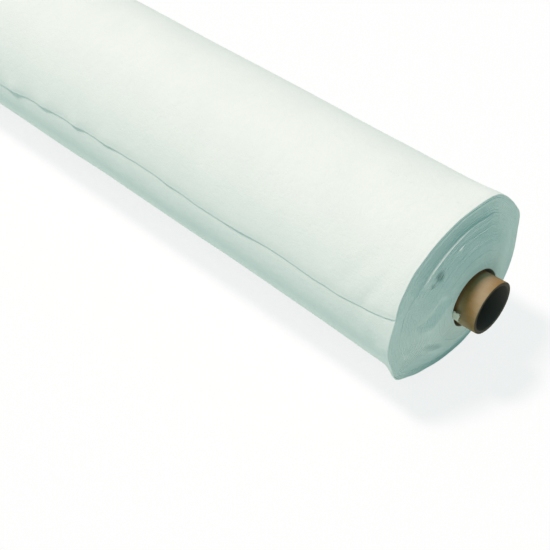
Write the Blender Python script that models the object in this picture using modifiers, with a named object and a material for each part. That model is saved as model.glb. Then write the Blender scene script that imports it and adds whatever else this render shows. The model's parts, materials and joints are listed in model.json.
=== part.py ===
"""A roll of nonwoven geotextile, wound on its cardboard core and lying on level ground.

The roll's axis runs along X, its front is -Y and up is +Z. At the +X end the inner
windings stand out in a shallow cone. At the -X end they are dished in as deep, because
the sheet has one width all along. Angles go round the axis from the back (+Y) over the
top, which is the way the sheet winds on, and the sheet's free edge lies on the front.
The whole roll is one sheet, drawn as stretches that follow one unbroken spiral: the
tight inner windings, the loose outer wraps, and the free end, which lifts. Lengths are
in metres.
"""
import math

import bmesh
import bpy
import numpy as np

TURN = 2 * math.pi

# The core, a spiral-wound cardboard tube
CORE_BORE_DIAMETER = 0.0762
CORE_WALL = 0.005
CORE_STICK_OUT = 0.032          # past the innermost turn, at both ends
CORE_CHAMFER = 0.0008
CORE_SIDES = 64

# The adhesive strip that holds the first turn on the core
TAPE_WIDTH = 0.025
TAPE_THICKNESS = 0.0004
TAPE_END_MARGIN = 0.04          # from each end of the first turn
TAPE_STEPS = 6

# The sheet and the roll
FABRIC_WIDTH = 2.0
FABRIC_THICKNESS = 0.002
ROLL_RADIUS = 0.155             # outer face of the last wrap, where the free end leaves
WINDING_TURNS = 20
WINDING_GAP = 0.0011            # between two inner turns
WRAP_TURNS = 4
WRAP_GAP = 0.0009               # between two outer wraps
STEPS_PER_TURN = 36
CUT_STEP = 0.002                # length of the first and last step, which squares a cut
START_ANGLE = math.radians(190)

# The section, which sags under its own weight
CORE_SLACK = 0.009              # room over the core, inside the first turn
OVAL_RISE = 0.003               # how much wider and lower than round the last wrap is
BELLY_RISE = 0.004              # slack in the wraps that hangs out in front
BELLY_ANGLE = math.radians(186)
BELLY_SPREAD = math.radians(17)
FOOT_RISE = 0.007               # how far the weight presses the underside up
FOOT_CUT = 0.0005               # what is cut off to make the foot one flat face

# How the turns have shifted along the core
CONE_RISE = 0.031               # of the first turn past the last wrap
RING_RISE = 0.013               # of the last inner turn past the last wrap

# The free end, which lifts about a line along the top of the roll
HINGE_ANGLE = math.radians(118)
FREE_EDGE_ANGLE = math.radians(171)
FREE_EDGE_DRIFT = 0.019         # how much longer the free end is away from the +X end
DRIFT_START = 0.66              # where that begins, from the +X end
DRIFT_LENGTH = 0.30
CORNER_PULL = 0.016             # how far the corner at the +X end is drawn back
CORNER_REACH = 0.075
EDGE_WAVE = 0.0022
EDGE_WAVE_LENGTH = 0.31
FREE_END_STRIPS = 22
FREE_END_STEPS = 10
STRIP_CROWDING_SHARE = 1.5      # above 1, the strips are narrower towards the corner

# The torn corner of the sheet's first edge, which stands out beside the core
TONGUE_ARC = 0.010
TONGUE_SHOW = 0.008             # past the first turn
TONGUE_HIDDEN = 0.030
TONGUE_CURL = 0.0012            # how far its free side leans in to the core
TONGUE_STEPS = 3

SEAT_GAP = 0.0003               # between faces that touch on the real roll
CUT_OVERRUN = 0.02
MERGE_LIMIT = 0.00001
SMOOTH_ANGLE = math.radians(32)

# Worked out from the sizes above
CORE_BORE_RADIUS = CORE_BORE_DIAMETER / 2
CORE_RADIUS = CORE_BORE_RADIUS + CORE_WALL
STEP = TURN / STEPS_PER_TURN
WRAP_PITCH = FABRIC_THICKNESS + WRAP_GAP
WINDING_TRAVEL = WINDING_TURNS * TURN
HINGE_TRAVEL = WINDING_TRAVEL + WRAP_TURNS * TURN - (START_ANGLE - HINGE_ANGLE)
RING_RADIUS = ROLL_RADIUS - WRAP_PITCH * (HINGE_TRAVEL - WINDING_TRAVEL) / TURN
TAPE_ROOM = 2 * SEAT_GAP + TAPE_THICKNESS
FACET_ROOM = CORE_RADIUS * (1 - math.cos(STEP / 2))
HOLE_RADIUS = CORE_RADIUS + TAPE_ROOM + FACET_ROOM + CORE_SLACK / 2
BED_TRAVEL = 3 * TURN / 4 - START_ANGLE
WINDING_PITCH = (RING_RADIUS - HOLE_RADIUS + WINDING_GAP) / (WINDING_TURNS + 1 - BED_TRAVEL / TURN)
WINDING_THICKNESS = WINDING_PITCH - WINDING_GAP
FIRST_RADIUS = HOLE_RADIUS + WINDING_THICKNESS - WINDING_PITCH * BED_TRAVEL / TURN
CORE_LENGTH = FABRIC_WIDTH + 2 * CORE_STICK_OUT
LOW_END = min(-FABRIC_WIDTH / 2 - CONE_RISE, -CORE_LENGTH / 2)
HIGH_END = max(FABRIC_WIDTH / 2, CORE_LENGTH / 2)
CORE_CENTRE_X = -(LOW_END + HIGH_END) / 2


def outer_radius(travel):
    """Return the nominal radius of the sheet's outer face after winding so far.

    It grows evenly with the angle travelled, by one pitch a turn, and more slowly in the
    outer wraps, which are drawn at the fabric's own thickness.
    """
    inner = FIRST_RADIUS + WINDING_PITCH * travel / TURN
    outer = RING_RADIUS + WRAP_PITCH * (travel - WINDING_TRAVEL) / TURN
    return np.where(travel < WINDING_TRAVEL, inner, outer)


def sag_share(radius):
    """Return how far a turn takes part in the sag: nought at the core, one outside."""
    return (radius - FIRST_RADIUS) / (ROLL_RADIUS - FIRST_RADIUS)


def section(travel, inset=0.0):
    """Return y and z of the sheet's outer face, measured from the core's axis.

    A circle that is a little wider than high, with a belly in front and its underside
    pressed up. Inner turns are rounder, and hang on the core by their lower side.
    """
    angle = START_ANGLE + travel
    radius = outer_radius(travel)
    share = sag_share(radius)
    off_belly = (angle - BELLY_ANGLE + math.pi) % TURN - math.pi
    belly = BELLY_RISE * np.exp(-((off_belly / BELLY_SPREAD) ** 2))
    reach = radius - inset + share * (OVAL_RISE * np.cos(2 * angle) + belly)
    centre = CORE_SLACK / 2 * (1 - share)
    floor = centre - (radius - inset) + FOOT_RISE * share
    return reach * np.cos(angle), np.maximum(centre + reach * np.sin(angle), floor)


def shift(radius):
    """Return how far a turn of this radius has slid towards +X from the last wrap."""
    ring_share = (RING_RADIUS - radius) / (RING_RADIUS - FIRST_RADIUS)
    wrap_share = (ROLL_RADIUS - radius) / (ROLL_RADIUS - RING_RADIUS)
    inner = RING_RISE + (CONE_RISE - RING_RISE) * ring_share
    return np.where(radius < RING_RADIUS, inner, RING_RISE * wrap_share)


def last_pass(angle):
    """Return the travel at which the outermost wrap passes an angle, hinge side last."""
    return HINGE_TRAVEL - (HINGE_ANGLE - angle) % TURN


LAST_WRAP_X = CORE_CENTRE_X - CONE_RISE
LAST_TURN_Y = section(HINGE_TRAVEL - STEP * np.arange(-STEPS_PER_TURN // 4, STEPS_PER_TURN))[0]
CORE_AXIS_Y = -float(LAST_TURN_Y.min() + LAST_TURN_Y.max()) / 2
CORE_AXIS_Z = -float(section(last_pass(3 * TURN / 4))[1]) - FOOT_CUT


def stand(x, y, z):
    """Return points in the roll's place on the ground, from ones round the core's axis."""
    return np.column_stack([x, y + CORE_AXIS_Y, z + CORE_AXIS_Z])


def stations(start, end):
    """Return the angles travelled at the mesh's rows.

    They are every whole step, both ends, and a short step in from each end, so that the
    cut faces there stand square to the sheet.
    """
    first = math.ceil(start / STEP + 1 / 4)
    last = math.floor(end / STEP - 1 / 4)
    low = start + CUT_STEP / float(outer_radius(start))
    high = end - CUT_STEP / float(outer_radius(end))
    return np.concatenate([[start, low], STEP * np.arange(first, last + 1), [high, end]])


def free_edge_travel(along):
    """Return the travel at the free edge, at a distance from the sheet's +X side."""
    drift_share = np.clip((along - DRIFT_START) / DRIFT_LENGTH, 0, 1)
    drift = FREE_EDGE_DRIFT * drift_share ** 2 * (3 - 2 * drift_share)
    pull = CORNER_PULL * np.exp(-along / CORNER_REACH)
    wave = EDGE_WAVE * np.sin(TURN * along / EDGE_WAVE_LENGTH)
    nominal = HINGE_TRAVEL + FREE_EDGE_ANGLE - HINGE_ANGLE
    return nominal + (drift - pull + wave) / ROLL_RADIUS


def new_collection(name):
    """Make a collection in the scene."""
    group = bpy.data.collections.new(name)
    bpy.context.scene.collection.children.link(group)
    return group


def new_material(name, colour, roughness):
    """Make a plain material."""
    material = bpy.data.materials.new(name)
    material.use_nodes = True
    shader = material.node_tree.nodes["Principled BSDF"]
    shader.inputs["Base Color"].default_value = (*colour, 1.0)
    shader.inputs["Roughness"].default_value = roughness
    shader.inputs["Metallic"].default_value = 0.0
    return material


def add_object(name, mesh, group, material=None, location=(0.0, 0.0, 0.0)):
    """Put a mesh in a collection as a named object, shaded smooth."""
    if material:
        mesh.materials.append(material)
    mesh.shade_smooth()
    mesh.set_sharp_from_angle(angle=SMOOTH_ANGLE)
    piece = bpy.data.objects.new(name, mesh)
    piece.location = location
    group.objects.link(piece)
    return piece


def sheet_mesh(name, rows, columns, place):
    """Lay a grid of rows by columns where place says, from the grid's two counts."""
    grid = bmesh.new()
    bmesh.ops.create_grid(grid, x_segments=rows - 1, y_segments=columns - 1, size=1.0)
    mesh = bpy.data.meshes.new(name)
    grid.to_mesh(mesh)
    grid.free()
    flat = np.empty(3 * len(mesh.vertices))
    mesh.vertices.foreach_get("co", flat)
    share = (flat.reshape(-1, 3) + 1) / 2
    row = np.rint(share[:, 0] * (rows - 1)).astype(int)
    column = np.rint(share[:, 1] * (columns - 1)).astype(int)
    mesh.vertices.foreach_set("co", place(row, column).ravel())
    mesh.update()
    return mesh


def thicken(piece, thickness):
    """Give an open surface its thickness, on its inner side."""
    solid = piece.modifiers.new("thickness", "SOLIDIFY")
    solid.thickness = thickness
    solid.offset = -1.0
    solid.use_even_offset = True


def wound_stretch(name, start, end, thickness, group, material):
    """Make the stretch of the wound sheet between two travels, as wide as the fabric."""
    travel = stations(start, end)

    def place(row, column):
        """Follow the spiral, with each turn slid along the core by its radius."""
        angle = travel[row]
        y, z = section(angle)
        x = LAST_WRAP_X + shift(outer_radius(angle)) + FABRIC_WIDTH * (column - 1 / 2)
        return stand(x, y, z)

    piece = add_object(name, sheet_mesh(name, len(travel), 2, place), group, material)
    thicken(piece, thickness)
    print(name, "least gap between turns, mm:", round(1000 * least_gap(travel, thickness), 2))
    return piece


def least_gap(travel, thickness):
    """Measure the least gap between one turn and the next, on the section's own points.

    Each point of a turn's inner face is set against the nearest piece of the outline of
    the outer face one turn before, and each point of that outline against the inner face.
    """
    outer = np.column_stack(section(travel))
    along = np.gradient(outer, axis=0)
    along /= np.linalg.norm(along, axis=1)[:, None]
    inward = np.column_stack([-along[:, 1], along[:, 0]])
    inner = outer + thickness * inward
    near = math.inf
    for offset in range(STEPS_PER_TURN - 2, STEPS_PER_TURN + 3):
        for points, line in ((inner[offset:], outer[:-offset]), (outer[:-offset], inner[offset:])):
            near = min(near, nearest(points[:-1], line[:-1], line[1:]))
    return near


def nearest(points, starts, ends):
    """Return the least distance between each point and the line piece of its own row."""
    run = ends - starts
    share = np.sum((points - starts) * run, axis=1) / np.sum(run * run, axis=1)
    foot = starts + np.clip(share, 0, 1)[:, None] * run
    return float(np.linalg.norm(points - foot, axis=1).min())


def make_core_tube(group, material):
    """Turn the core's wall about its axis, from a profile with chamfered corners."""
    half = CORE_LENGTH / 2
    inner, outer, edge = CORE_BORE_RADIUS, CORE_RADIUS, CORE_CHAMFER
    profile = [(outer, half - edge), (outer, edge - half), (outer - edge, -half), (inner + edge, -half),
               (inner, edge - half), (inner, half - edge), (inner + edge, half), (outer - edge, half)]
    mesh = bpy.data.meshes.new("core_tube")
    corners = range(len(profile))
    mesh.from_pydata([(radius, 0, height) for radius, height in profile],
                     [(i, (i + 1) % len(profile)) for i in corners], [])
    piece = add_object("core_tube", mesh, group, material, (CORE_CENTRE_X, CORE_AXIS_Y, CORE_AXIS_Z))
    piece.rotation_euler = (0, TURN / 4, 0)
    turn = piece.modifiers.new("turn", "SCREW")
    turn.angle = TURN
    turn.steps = CORE_SIDES
    turn.render_steps = CORE_SIDES
    turn.use_merge_vertices = True
    turn.merge_threshold = MERGE_LIMIT
    turn.use_smooth_shade = True


def make_core_tape(group, material):
    """Lay the adhesive strip along the underside of the core, under the first turn."""
    rows = TAPE_STEPS + 1
    outer = CORE_RADIUS + SEAT_GAP + TAPE_THICKNESS
    span = TAPE_WIDTH / CORE_RADIUS
    length = FABRIC_WIDTH - 2 * TAPE_END_MARGIN

    def place(row, column):
        """Follow the core's own circle, centred on its lowest line."""
        angle = 3 * TURN / 4 + span * (row / TAPE_STEPS - 1 / 2)
        x = CORE_CENTRE_X + length * (column - 1 / 2)
        return stand(x, outer * np.cos(angle), outer * np.sin(angle))

    piece = add_object("core_tape", sheet_mesh("core_tape", rows, 2, place), group, material)
    thicken(piece, TAPE_THICKNESS)


def make_start_tongue(group, material):
    """Make the torn corner that goes on from the first turn's edge, beside the core."""
    rows = TONGUE_STEPS + 1
    length = TONGUE_HIDDEN + TONGUE_SHOW
    first_side = CORE_CENTRE_X + FABRIC_WIDTH / 2
    inset = (WINDING_THICKNESS - FABRIC_THICKNESS) / 2

    def place(row, column):
        """Lead back from the sheet's edge, leaning in to the core on the way."""
        reach_share = 1 - row / TONGUE_STEPS
        travel = -(SEAT_GAP + TONGUE_ARC * reach_share) / FIRST_RADIUS
        y, z = section(travel, inset + TONGUE_CURL * reach_share ** 2)
        x = first_side + TONGUE_SHOW - length * (1 - column)
        return stand(x, y, z)

    mesh = sheet_mesh("start_tongue", rows, 2, place)
    piece = add_object("start_tongue", mesh, group, material)
    thicken(piece, FABRIC_THICKNESS)


def make_outer_wraps(group, cutters, material):
    """Make the loose outer wraps, cut flat where the roll stands on the ground."""
    start = WINDING_TRAVEL + SEAT_GAP / RING_RADIUS
    end = HINGE_TRAVEL - SEAT_GAP / 2 / ROLL_RADIUS
    piece = wound_stretch("outer_wraps", start, end, FABRIC_THICKNESS, group, material)
    bpy.ops.mesh.primitive_cube_add(size=1)
    ground = bpy.context.object
    ground.name = "ground_cutter"
    ground.dimensions = (FABRIC_WIDTH + 2 * CUT_OVERRUN, 2 * ROLL_RADIUS, 2 * CUT_OVERRUN)
    ground.location = (LAST_WRAP_X, CORE_AXIS_Y, -CUT_OVERRUN)
    ground.hide_render = True
    ground.display_type = "WIRE"
    for holder in ground.users_collection:
        holder.objects.unlink(ground)
    cutters.objects.link(ground)
    cut = piece.modifiers.new("foot", "BOOLEAN")
    cut.operation = "DIFFERENCE"
    cut.solver = "EXACT"
    cut.object = ground


def make_free_end(group, material):
    """Make the sheet's free end, whose origin is on the line that it lifts about."""
    hinge_y, hinge_z = (float(value) for value in section(HINGE_TRAVEL))
    rows, columns = FREE_END_STEPS + 1, FREE_END_STRIPS + 1
    root = HINGE_TRAVEL + SEAT_GAP / 2 / ROLL_RADIUS

    def place(row, column):
        """Go on along the spiral, from the hinge line to the wavy free edge."""
        along = FABRIC_WIDTH * (1 - column / FREE_END_STRIPS) ** STRIP_CROWDING_SHARE
        travel = root + (free_edge_travel(along) - root) * row / FREE_END_STEPS
        y, z = section(travel)
        return np.column_stack([FABRIC_WIDTH / 2 - along, y - hinge_y, z - hinge_z])

    mesh = sheet_mesh("free_end", rows, columns, place)
    hinge = (LAST_WRAP_X, hinge_y + CORE_AXIS_Y, hinge_z + CORE_AXIS_Z)
    piece = add_object("free_end", mesh, group, material, hinge)
    thicken(piece, FABRIC_THICKNESS)
    print("hinge line, m: y", round(hinge[1], 6), "z", round(hinge[2], 6))


def main():
    """Clear the scene and build the roll."""
    for old in list(bpy.data.objects):
        bpy.data.objects.remove(old, do_unlink=True)
    roll = new_collection("geotextile_roll")
    cutters = new_collection("cutters")
    fleece = new_material("white_fleece", (0.86, 0.88, 0.85), 0.95)
    kraft = new_material("kraft_board", (0.36, 0.24, 0.13), 0.8)
    adhesive = new_material("adhesive_strip", (0.78, 0.76, 0.68), 0.5)
    make_core_tube(roll, kraft)
    make_core_tape(roll, adhesive)
    make_start_tongue(roll, fleece)
    wound_stretch("inner_windings", 0.0, WINDING_TRAVEL, WINDING_THICKNESS, roll, fleece)
    make_outer_wraps(roll, cutters, fleece)
    make_free_end(roll, fleece)
    print("core axis, m: y", round(CORE_AXIS_Y, 6), "z", round(CORE_AXIS_Z, 6))
    print("last wrap centre x, m:", round(LAST_WRAP_X, 6))
    print("inner windings, mm: pitch", round(1000 * WINDING_PITCH, 2), "thickness",
          round(1000 * WINDING_THICKNESS, 2), "first and last radius",
          round(1000 * FIRST_RADIUS, 2), round(1000 * RING_RADIUS, 2))


main()
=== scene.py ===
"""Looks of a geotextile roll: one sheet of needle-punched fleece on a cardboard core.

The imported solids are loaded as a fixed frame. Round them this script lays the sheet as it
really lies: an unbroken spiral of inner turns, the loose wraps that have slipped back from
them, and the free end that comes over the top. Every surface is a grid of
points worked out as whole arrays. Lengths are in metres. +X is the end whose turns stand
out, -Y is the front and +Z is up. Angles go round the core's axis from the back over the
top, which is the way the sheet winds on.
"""
from __future__ import annotations

import json
import logging
import math
from dataclasses import dataclass
from enum import Enum

import bpy
import numpy as np
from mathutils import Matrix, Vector

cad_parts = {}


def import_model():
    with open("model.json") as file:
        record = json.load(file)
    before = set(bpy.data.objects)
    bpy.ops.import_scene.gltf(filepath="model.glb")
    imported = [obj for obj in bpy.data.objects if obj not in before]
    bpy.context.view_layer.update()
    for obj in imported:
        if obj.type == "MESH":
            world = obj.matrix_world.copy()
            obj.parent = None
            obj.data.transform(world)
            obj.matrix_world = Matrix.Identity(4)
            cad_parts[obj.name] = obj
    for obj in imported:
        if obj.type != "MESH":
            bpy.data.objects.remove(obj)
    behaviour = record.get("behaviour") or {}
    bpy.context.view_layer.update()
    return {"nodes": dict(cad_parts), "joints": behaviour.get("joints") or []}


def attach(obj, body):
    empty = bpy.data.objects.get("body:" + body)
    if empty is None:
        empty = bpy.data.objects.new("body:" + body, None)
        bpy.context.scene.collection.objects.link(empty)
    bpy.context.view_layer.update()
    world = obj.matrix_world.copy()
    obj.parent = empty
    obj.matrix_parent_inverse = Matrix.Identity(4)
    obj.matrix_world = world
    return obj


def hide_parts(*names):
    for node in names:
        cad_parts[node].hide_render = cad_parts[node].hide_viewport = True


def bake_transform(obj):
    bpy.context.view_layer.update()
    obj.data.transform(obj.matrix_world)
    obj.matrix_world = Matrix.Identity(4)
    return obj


Array = np.ndarray
TURN = 2 * math.pi
TURN_DEGREES = 360.0
BOTTOM = 3 * TURN / 4
TINY = 1e-9
SHARP_SIDE = math.radians(50)
SHARP_END = math.radians(60)
LOG = logging.getLogger("geotextile_roll")


class Body(Enum):
    """The bodies that the roll's pieces ride on."""

    ROLL = "roll"
    FREE_END = "free_end"


class Slot(Enum):
    """The record's material slots."""

    BOARD = "kraft_board"
    ADHESIVE = "adhesive_strip"
    FLEECE = "geotextile"


def smooth_step(value: Array) -> Array:
    """Return 3v^2 - 2v^3 of a value held between nought and one."""
    share = np.clip(value, 0.0, 1.0)
    return share * share * (3 - 2 * share)


def bump_shape(distance: Array, width: float) -> Array:
    """Return a bell of height one, exp(-(distance / width)^2)."""
    return np.exp(-((distance / width) ** 2))


def angle_between(angle: Array, centre: float) -> Array:
    """Return the signed angle from a centre, between minus and plus half a turn."""
    return (angle - centre + math.pi) % TURN - math.pi


def spaced(start: float, end: float, step: float) -> Array:
    """Return evenly spaced values with both ends, near a wanted step."""
    return np.linspace(start, end, max(2, round((end - start) / step) + 1))


def half_turn(count: int) -> Array:
    """Return evenly spaced angles inside half a turn, without its ends."""
    return math.pi * (np.arange(count) + 1) / (count + 1)


@dataclass(frozen=True)
class Knots:
    """A smooth random line or plane, the same on every run.

    Attributes:
        seed: number that picks the random knots.
        cell: distance between two knots.
        count: how many knots there are before they repeat.
    """

    seed: int
    cell: float
    count: int = 61

    def line(self, place: Array) -> Array:
        """Return values from -1 to 1 along a line, eased from knot to knot.

        Args:
            place: distances along the line.

        Returns:
            An array of the same shape.
        """
        table = np.random.default_rng(self.seed).uniform(-1, 1, self.count)
        scaled = np.asarray(place) / self.cell
        knot = np.floor(scaled).astype(int)
        ease = smooth_step(scaled - knot)
        low, high = table[knot % self.count], table[(knot + 1) % self.count]
        return low + (high - low) * ease

    def plane(self, first: Array, second: Array) -> Array:
        """Return values from -1 to 1 over a plane, eased between four knots.

        Args:
            first: distances in one direction.
            second: distances in the other.

        Returns:
            An array of their shape.
        """
        table = np.random.default_rng(self.seed).uniform(-1, 1, (self.count, self.count))
        one, two = np.asarray(first) / self.cell, np.asarray(second) / self.cell
        row, column = np.floor(one).astype(int), np.floor(two).astype(int)
        ease_row, ease_column = smooth_step(one - row), smooth_step(two - column)

        def knot(down: int, across: int) -> Array:
            """Read one corner of each cell."""
            return table[(row + down) % self.count, (column + across) % self.count]

        low = knot(0, 0) + (knot(0, 1) - knot(0, 0)) * ease_column
        high = knot(1, 0) + (knot(1, 1) - knot(1, 0)) * ease_column
        return low + (high - low) * ease_row


@dataclass(frozen=True)
class RollForm:
    """The roll's section and the path of its sheet, in the sizes that the solids have.

    The sheet's outer face follows a spiral whose radius grows evenly with the angle
    travelled, less in the tight inner turns than in the loose wraps. Its section is a
    circle a little wider than high, with a belly in front and its underside pressed up.

    Attributes:
        sheet_width, thickness: the sheet's width, and its thickness in the loose wraps.
        roll_radius: outer radius where the free end starts to lift.
        winding_turns, winding_gap: turns drawn from the core to the ring, and their air.
        wrap_turns, wrap_gap: turns outside the ring, the last cut short, and their air.
        start_angle, hinge_angle: places of the first edge and of the free end's bend.
        core_radius, tape_room: the core's radius, and the strip's room under the first turn.
        core_slack: how much wider the hole is than the core with its strip.
        oval_rise, belly_rise: how far the sides and, beside that, the front stand out.
        foot_rise, foot_cut, foot_softness: how far the underside is pressed up, how much
            further its flat foot reaches, and how gradually it passes into the round.
        cone_rise, ring_rise: how far the first turn and the ring stand out past the wraps.
        wrap_x: place along the roll of the last wrap's middle.
        axis_y, axis_z: place of the core's axis.
    """

    sheet_width: float = 2.0
    thickness: float = 0.002
    roll_radius: float = 0.155
    winding_turns: int = 48
    winding_gap: float = 0.00005
    wrap_turns: int = 4
    wrap_gap: float = 0.0009
    start_angle: float = math.radians(190)
    hinge_angle: float = math.radians(118)
    core_radius: float = 0.0431
    tape_room: float = 0.001164
    core_slack: float = 0.009
    oval_rise: float = 0.003
    belly_rise: float = 0.004
    belly_angle: float = math.radians(186)
    belly_spread: float = math.radians(17)
    foot_rise: float = 0.007
    foot_cut: float = 0.0005
    foot_softness: float = 0.0025
    cone_rise: float = 0.031
    ring_rise: float = 0.013
    wrap_x: float = -0.031
    axis_y: float = 0.002355
    axis_z: float = 0.145865

    @property
    def wrap_pitch(self) -> float:
        """Radial distance from one outer wrap to the next."""
        return self.thickness + self.wrap_gap

    @property
    def winding_travel(self) -> float:
        """Angle travelled at the end of the inner windings."""
        return self.winding_turns * TURN

    @property
    def hinge_travel(self) -> float:
        """Angle travelled where the free end starts to lift."""
        return self.winding_travel + self.wrap_turns * TURN - (self.start_angle - self.hinge_angle)

    @property
    def ring_radius(self) -> float:
        """Outer radius of the last inner turn."""
        return self.roll_radius - self.wrap_pitch * (self.hinge_travel - self.winding_travel) / TURN

    @property
    def hole_radius(self) -> float:
        """Inner radius of the first turn at its lowest point."""
        return self.core_radius + self.tape_room + self.core_slack / 2

    @property
    def bed_share(self) -> float:
        """Share of a turn from the sheet's first edge to the lowest point."""
        return (BOTTOM - self.start_angle) / TURN

    @property
    def winding_pitch(self) -> float:
        """Radial distance from one inner turn to the next."""
        room = self.ring_radius - self.hole_radius + self.winding_gap
        return room / (self.winding_turns + 1 - self.bed_share)

    @property
    def winding_thickness(self) -> float:
        """Thickness of an inner turn."""
        return self.winding_pitch - self.winding_gap

    @property
    def first_radius(self) -> float:
        """Outer radius of the sheet at its first edge."""
        return self.hole_radius + self.winding_thickness - self.winding_pitch * self.bed_share

    def outer_radius(self, travel: Array) -> Array:
        """Return the radius of the outer face after travelling so far round the core.

        Args:
            travel: angles travelled from the sheet's first edge.

        Returns:
            Radii, growing by one pitch a turn.
        """
        inner = self.first_radius + self.winding_pitch * travel / TURN
        outer = self.ring_radius + self.wrap_pitch * (travel - self.winding_travel) / TURN
        return np.where(travel < self.winding_travel, inner, outer)

    def arc_length(self, travel: Array) -> Array:
        """Return the length of cloth up to a travel, the integral of the radius.

        Args:
            travel: angles travelled.

        Returns:
            Lengths from the sheet's first edge.
        """
        inner_end = np.minimum(travel, self.winding_travel)
        past = np.maximum(travel - self.winding_travel, 0.0)
        inner = self.first_radius * inner_end + self.winding_pitch * inner_end ** 2 / (2 * TURN)
        return inner + self.ring_radius * past + self.wrap_pitch * past ** 2 / (2 * TURN)

    def length(self, start: float, end: float) -> float:
        """Return the length of cloth between two travels."""
        return float(self.arc_length(np.array(end)) - self.arc_length(np.array(start)))

    def section(self, travel: Array, inset: Array) -> tuple[Array, Array]:
        """Return y and z of the sheet about the core's axis.

        y = reach cos(angle) and z = centre + reach sin(angle), held above a floor by a
        soft maximum. The reach is the radius, less the inset, with the oval and the belly.

        Args:
            travel: angles travelled.
            inset: depths below the outer face.

        Returns:
            The two arrays.
        """
        angle = self.start_angle + travel
        radius = self.outer_radius(travel)
        share = (radius - self.first_radius) / (self.roll_radius - self.first_radius)
        off_belly = angle_between(angle, self.belly_angle)
        belly = self.belly_rise * bump_shape(off_belly, self.belly_spread)
        reach = radius - inset + share * (self.oval_rise * np.cos(2 * angle) + belly)
        centre = self.core_slack / 2 * (1 - share)
        soft = self.foot_softness * share + TINY
        sink = (self.foot_rise - self.oval_rise) * share
        excess = (np.sqrt(sink * sink + soft * soft) - sink) / 2
        floor = centre - (radius - inset) + (self.foot_rise + self.foot_cut) * share - excess
        height = centre + reach * np.sin(angle)
        lifted = (height + floor + np.sqrt((height - floor) ** 2 + soft * soft)) / 2
        return reach * np.cos(angle), lifted

    def shift(self, travel: Array) -> Array:
        """Return how far the sheet has slid towards +X from the last wrap.

        The slide falls evenly with the radius from the core to the ring, and evenly again
        from the ring to the last wrap.

        Args:
            travel: angles travelled.

        Returns:
            Distances along the roll.
        """
        radius = self.outer_radius(travel)
        ring_share = (self.ring_radius - radius) / (self.ring_radius - self.first_radius)
        inner = self.ring_rise + (self.cone_rise - self.ring_rise) * ring_share
        wrap_share = (self.roll_radius - radius) / (self.roll_radius - self.ring_radius)
        outer = self.ring_rise * np.clip(wrap_share, 0.0, 1.0)
        return np.where(travel < self.winding_travel, inner, outer)


@dataclass(frozen=True)
class Dent:
    """A bell-shaped dent or swelling of the roll's outside.

    Attributes:
        along: distance from the roll's +X rim.
        angle: place round the roll.
        rise: how far the surface stands out, negative for a dent.
        length: half-width along the roll.
        arc: half-width round the roll.
        skew: how far the dent leans, as length along the roll for each length round it.
    """

    along: float
    angle: float
    rise: float
    length: float
    arc: float
    skew: float

    def height(self, along: Array, angle: Array, radius: float) -> Array:
        """Return the dent's height at places on the roll.

        Args:
            along: distances from the +X rim.
            angle: places round the roll.
            radius: the roll's radius, which turns angles into lengths.

        Returns:
            Heights, rise times a bell along the roll times a bell round it.
        """
        round_way = radius * angle_between(angle, self.angle)
        along_way = along - self.along - self.skew * round_way
        return self.rise * bump_shape(along_way, self.length) * bump_shape(round_way, self.arc)


@dataclass(frozen=True)
class Pocket:
    """A place on the +X face where two turns part, or where the inner one stands out.

    Attributes:
        radius: radius of the turns on either side.
        angle: place round the axis.
        parting: half the width of the gap that opens.
        step: how far the turns inside the radius stand out past those outside.
        across: distance over which both fade away from the radius.
        arc: half-width round the axis.
        pocket_shade: how much painted shade darkens the turns next to the gap, where the gap's
            shade falls.
        pocket_shade_reach: radial distance over which that painted shade fades.
    """

    radius: float
    angle: float
    parting: float
    step: float
    across: float
    arc: float
    pocket_shade: float
    pocket_shade_reach: float

    def bell(self, angle: Array) -> Array:
        """Return the share round the axis, one at the pocket's middle."""
        return bump_shape(self.radius * angle_between(angle, self.angle), self.arc)

    def part(self, turn: Array, angle: Array) -> Array:
        """Return the radial push, parting times exp(-distance / across), outwards outside.

        Args:
            turn: each point's turn, by the radius of its middle before the push.
            angle: places round the axis.

        Returns:
            The pushes, the same for both faces of a turn, so that none is torn or crossed.
        """
        away = turn - self.radius
        push = self.parting * np.exp(-np.abs(away) / self.across) * np.sign(away)
        return push * self.bell(angle)

    def pocket_shaded(self, turn: Array, angle: Array) -> Array:
        """Return the painted shade beside the gap, which fades with exp(-(distance / reach)^2) from
        it.
        """
        return self.pocket_shade * bump_shape(turn - self.radius, self.pocket_shade_reach) * self.bell(angle)

    def stand(self, turn: Array, angle: Array) -> Array:
        """Return how far each turn stands out, step times exp(-depth / across) inside.

        Args:
            turn: each point's turn, by the radius of its middle.
            angle: places round the axis.

        Returns:
            Distances along the roll, nought outside the pocket's radius.
        """
        inside = self.radius - turn
        rise = np.where(inside > 0, np.exp(-np.maximum(inside, 0.0) / self.across), 0.0)
        return self.step * rise * self.bell(angle)


@dataclass(frozen=True)
class Crease:
    """A crease across the turns of the +X face, raised on one side and sunk on the other.

    Attributes:
        start: y and z of one end, from the core's axis.
        end: y and z of the other end.
        rise: greatest height, on the left going from start to end.
        width: distance from the crease at which the height is greatest.
    """

    start: tuple[float, float]
    end: tuple[float, float]
    rise: float
    width: float

    def height(self, y: Array, z: Array) -> Array:
        """Return rise * d exp((1 - d^2) / 2), d being the distance in widths, within its ends.

        Args:
            y: places across the face, from the core's axis.
            z: heights, from the core's axis.

        Returns:
            Heights towards +X.
        """
        first, last = np.array(self.start), np.array(self.end)
        length = float(np.hypot(*(last - first)))
        onward = (last - first) / length
        down, aside = y - first[0], z - first[1]
        distance = (onward[0] * aside - onward[1] * down) / self.width
        beyond = np.abs((onward[0] * down + onward[1] * aside) / length - 0.5) - 0.5
        fade = 1 - smooth_step(beyond * length / (2 * self.width))
        return self.rise * distance * np.exp((1 - distance * distance) / 2) * fade


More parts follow.
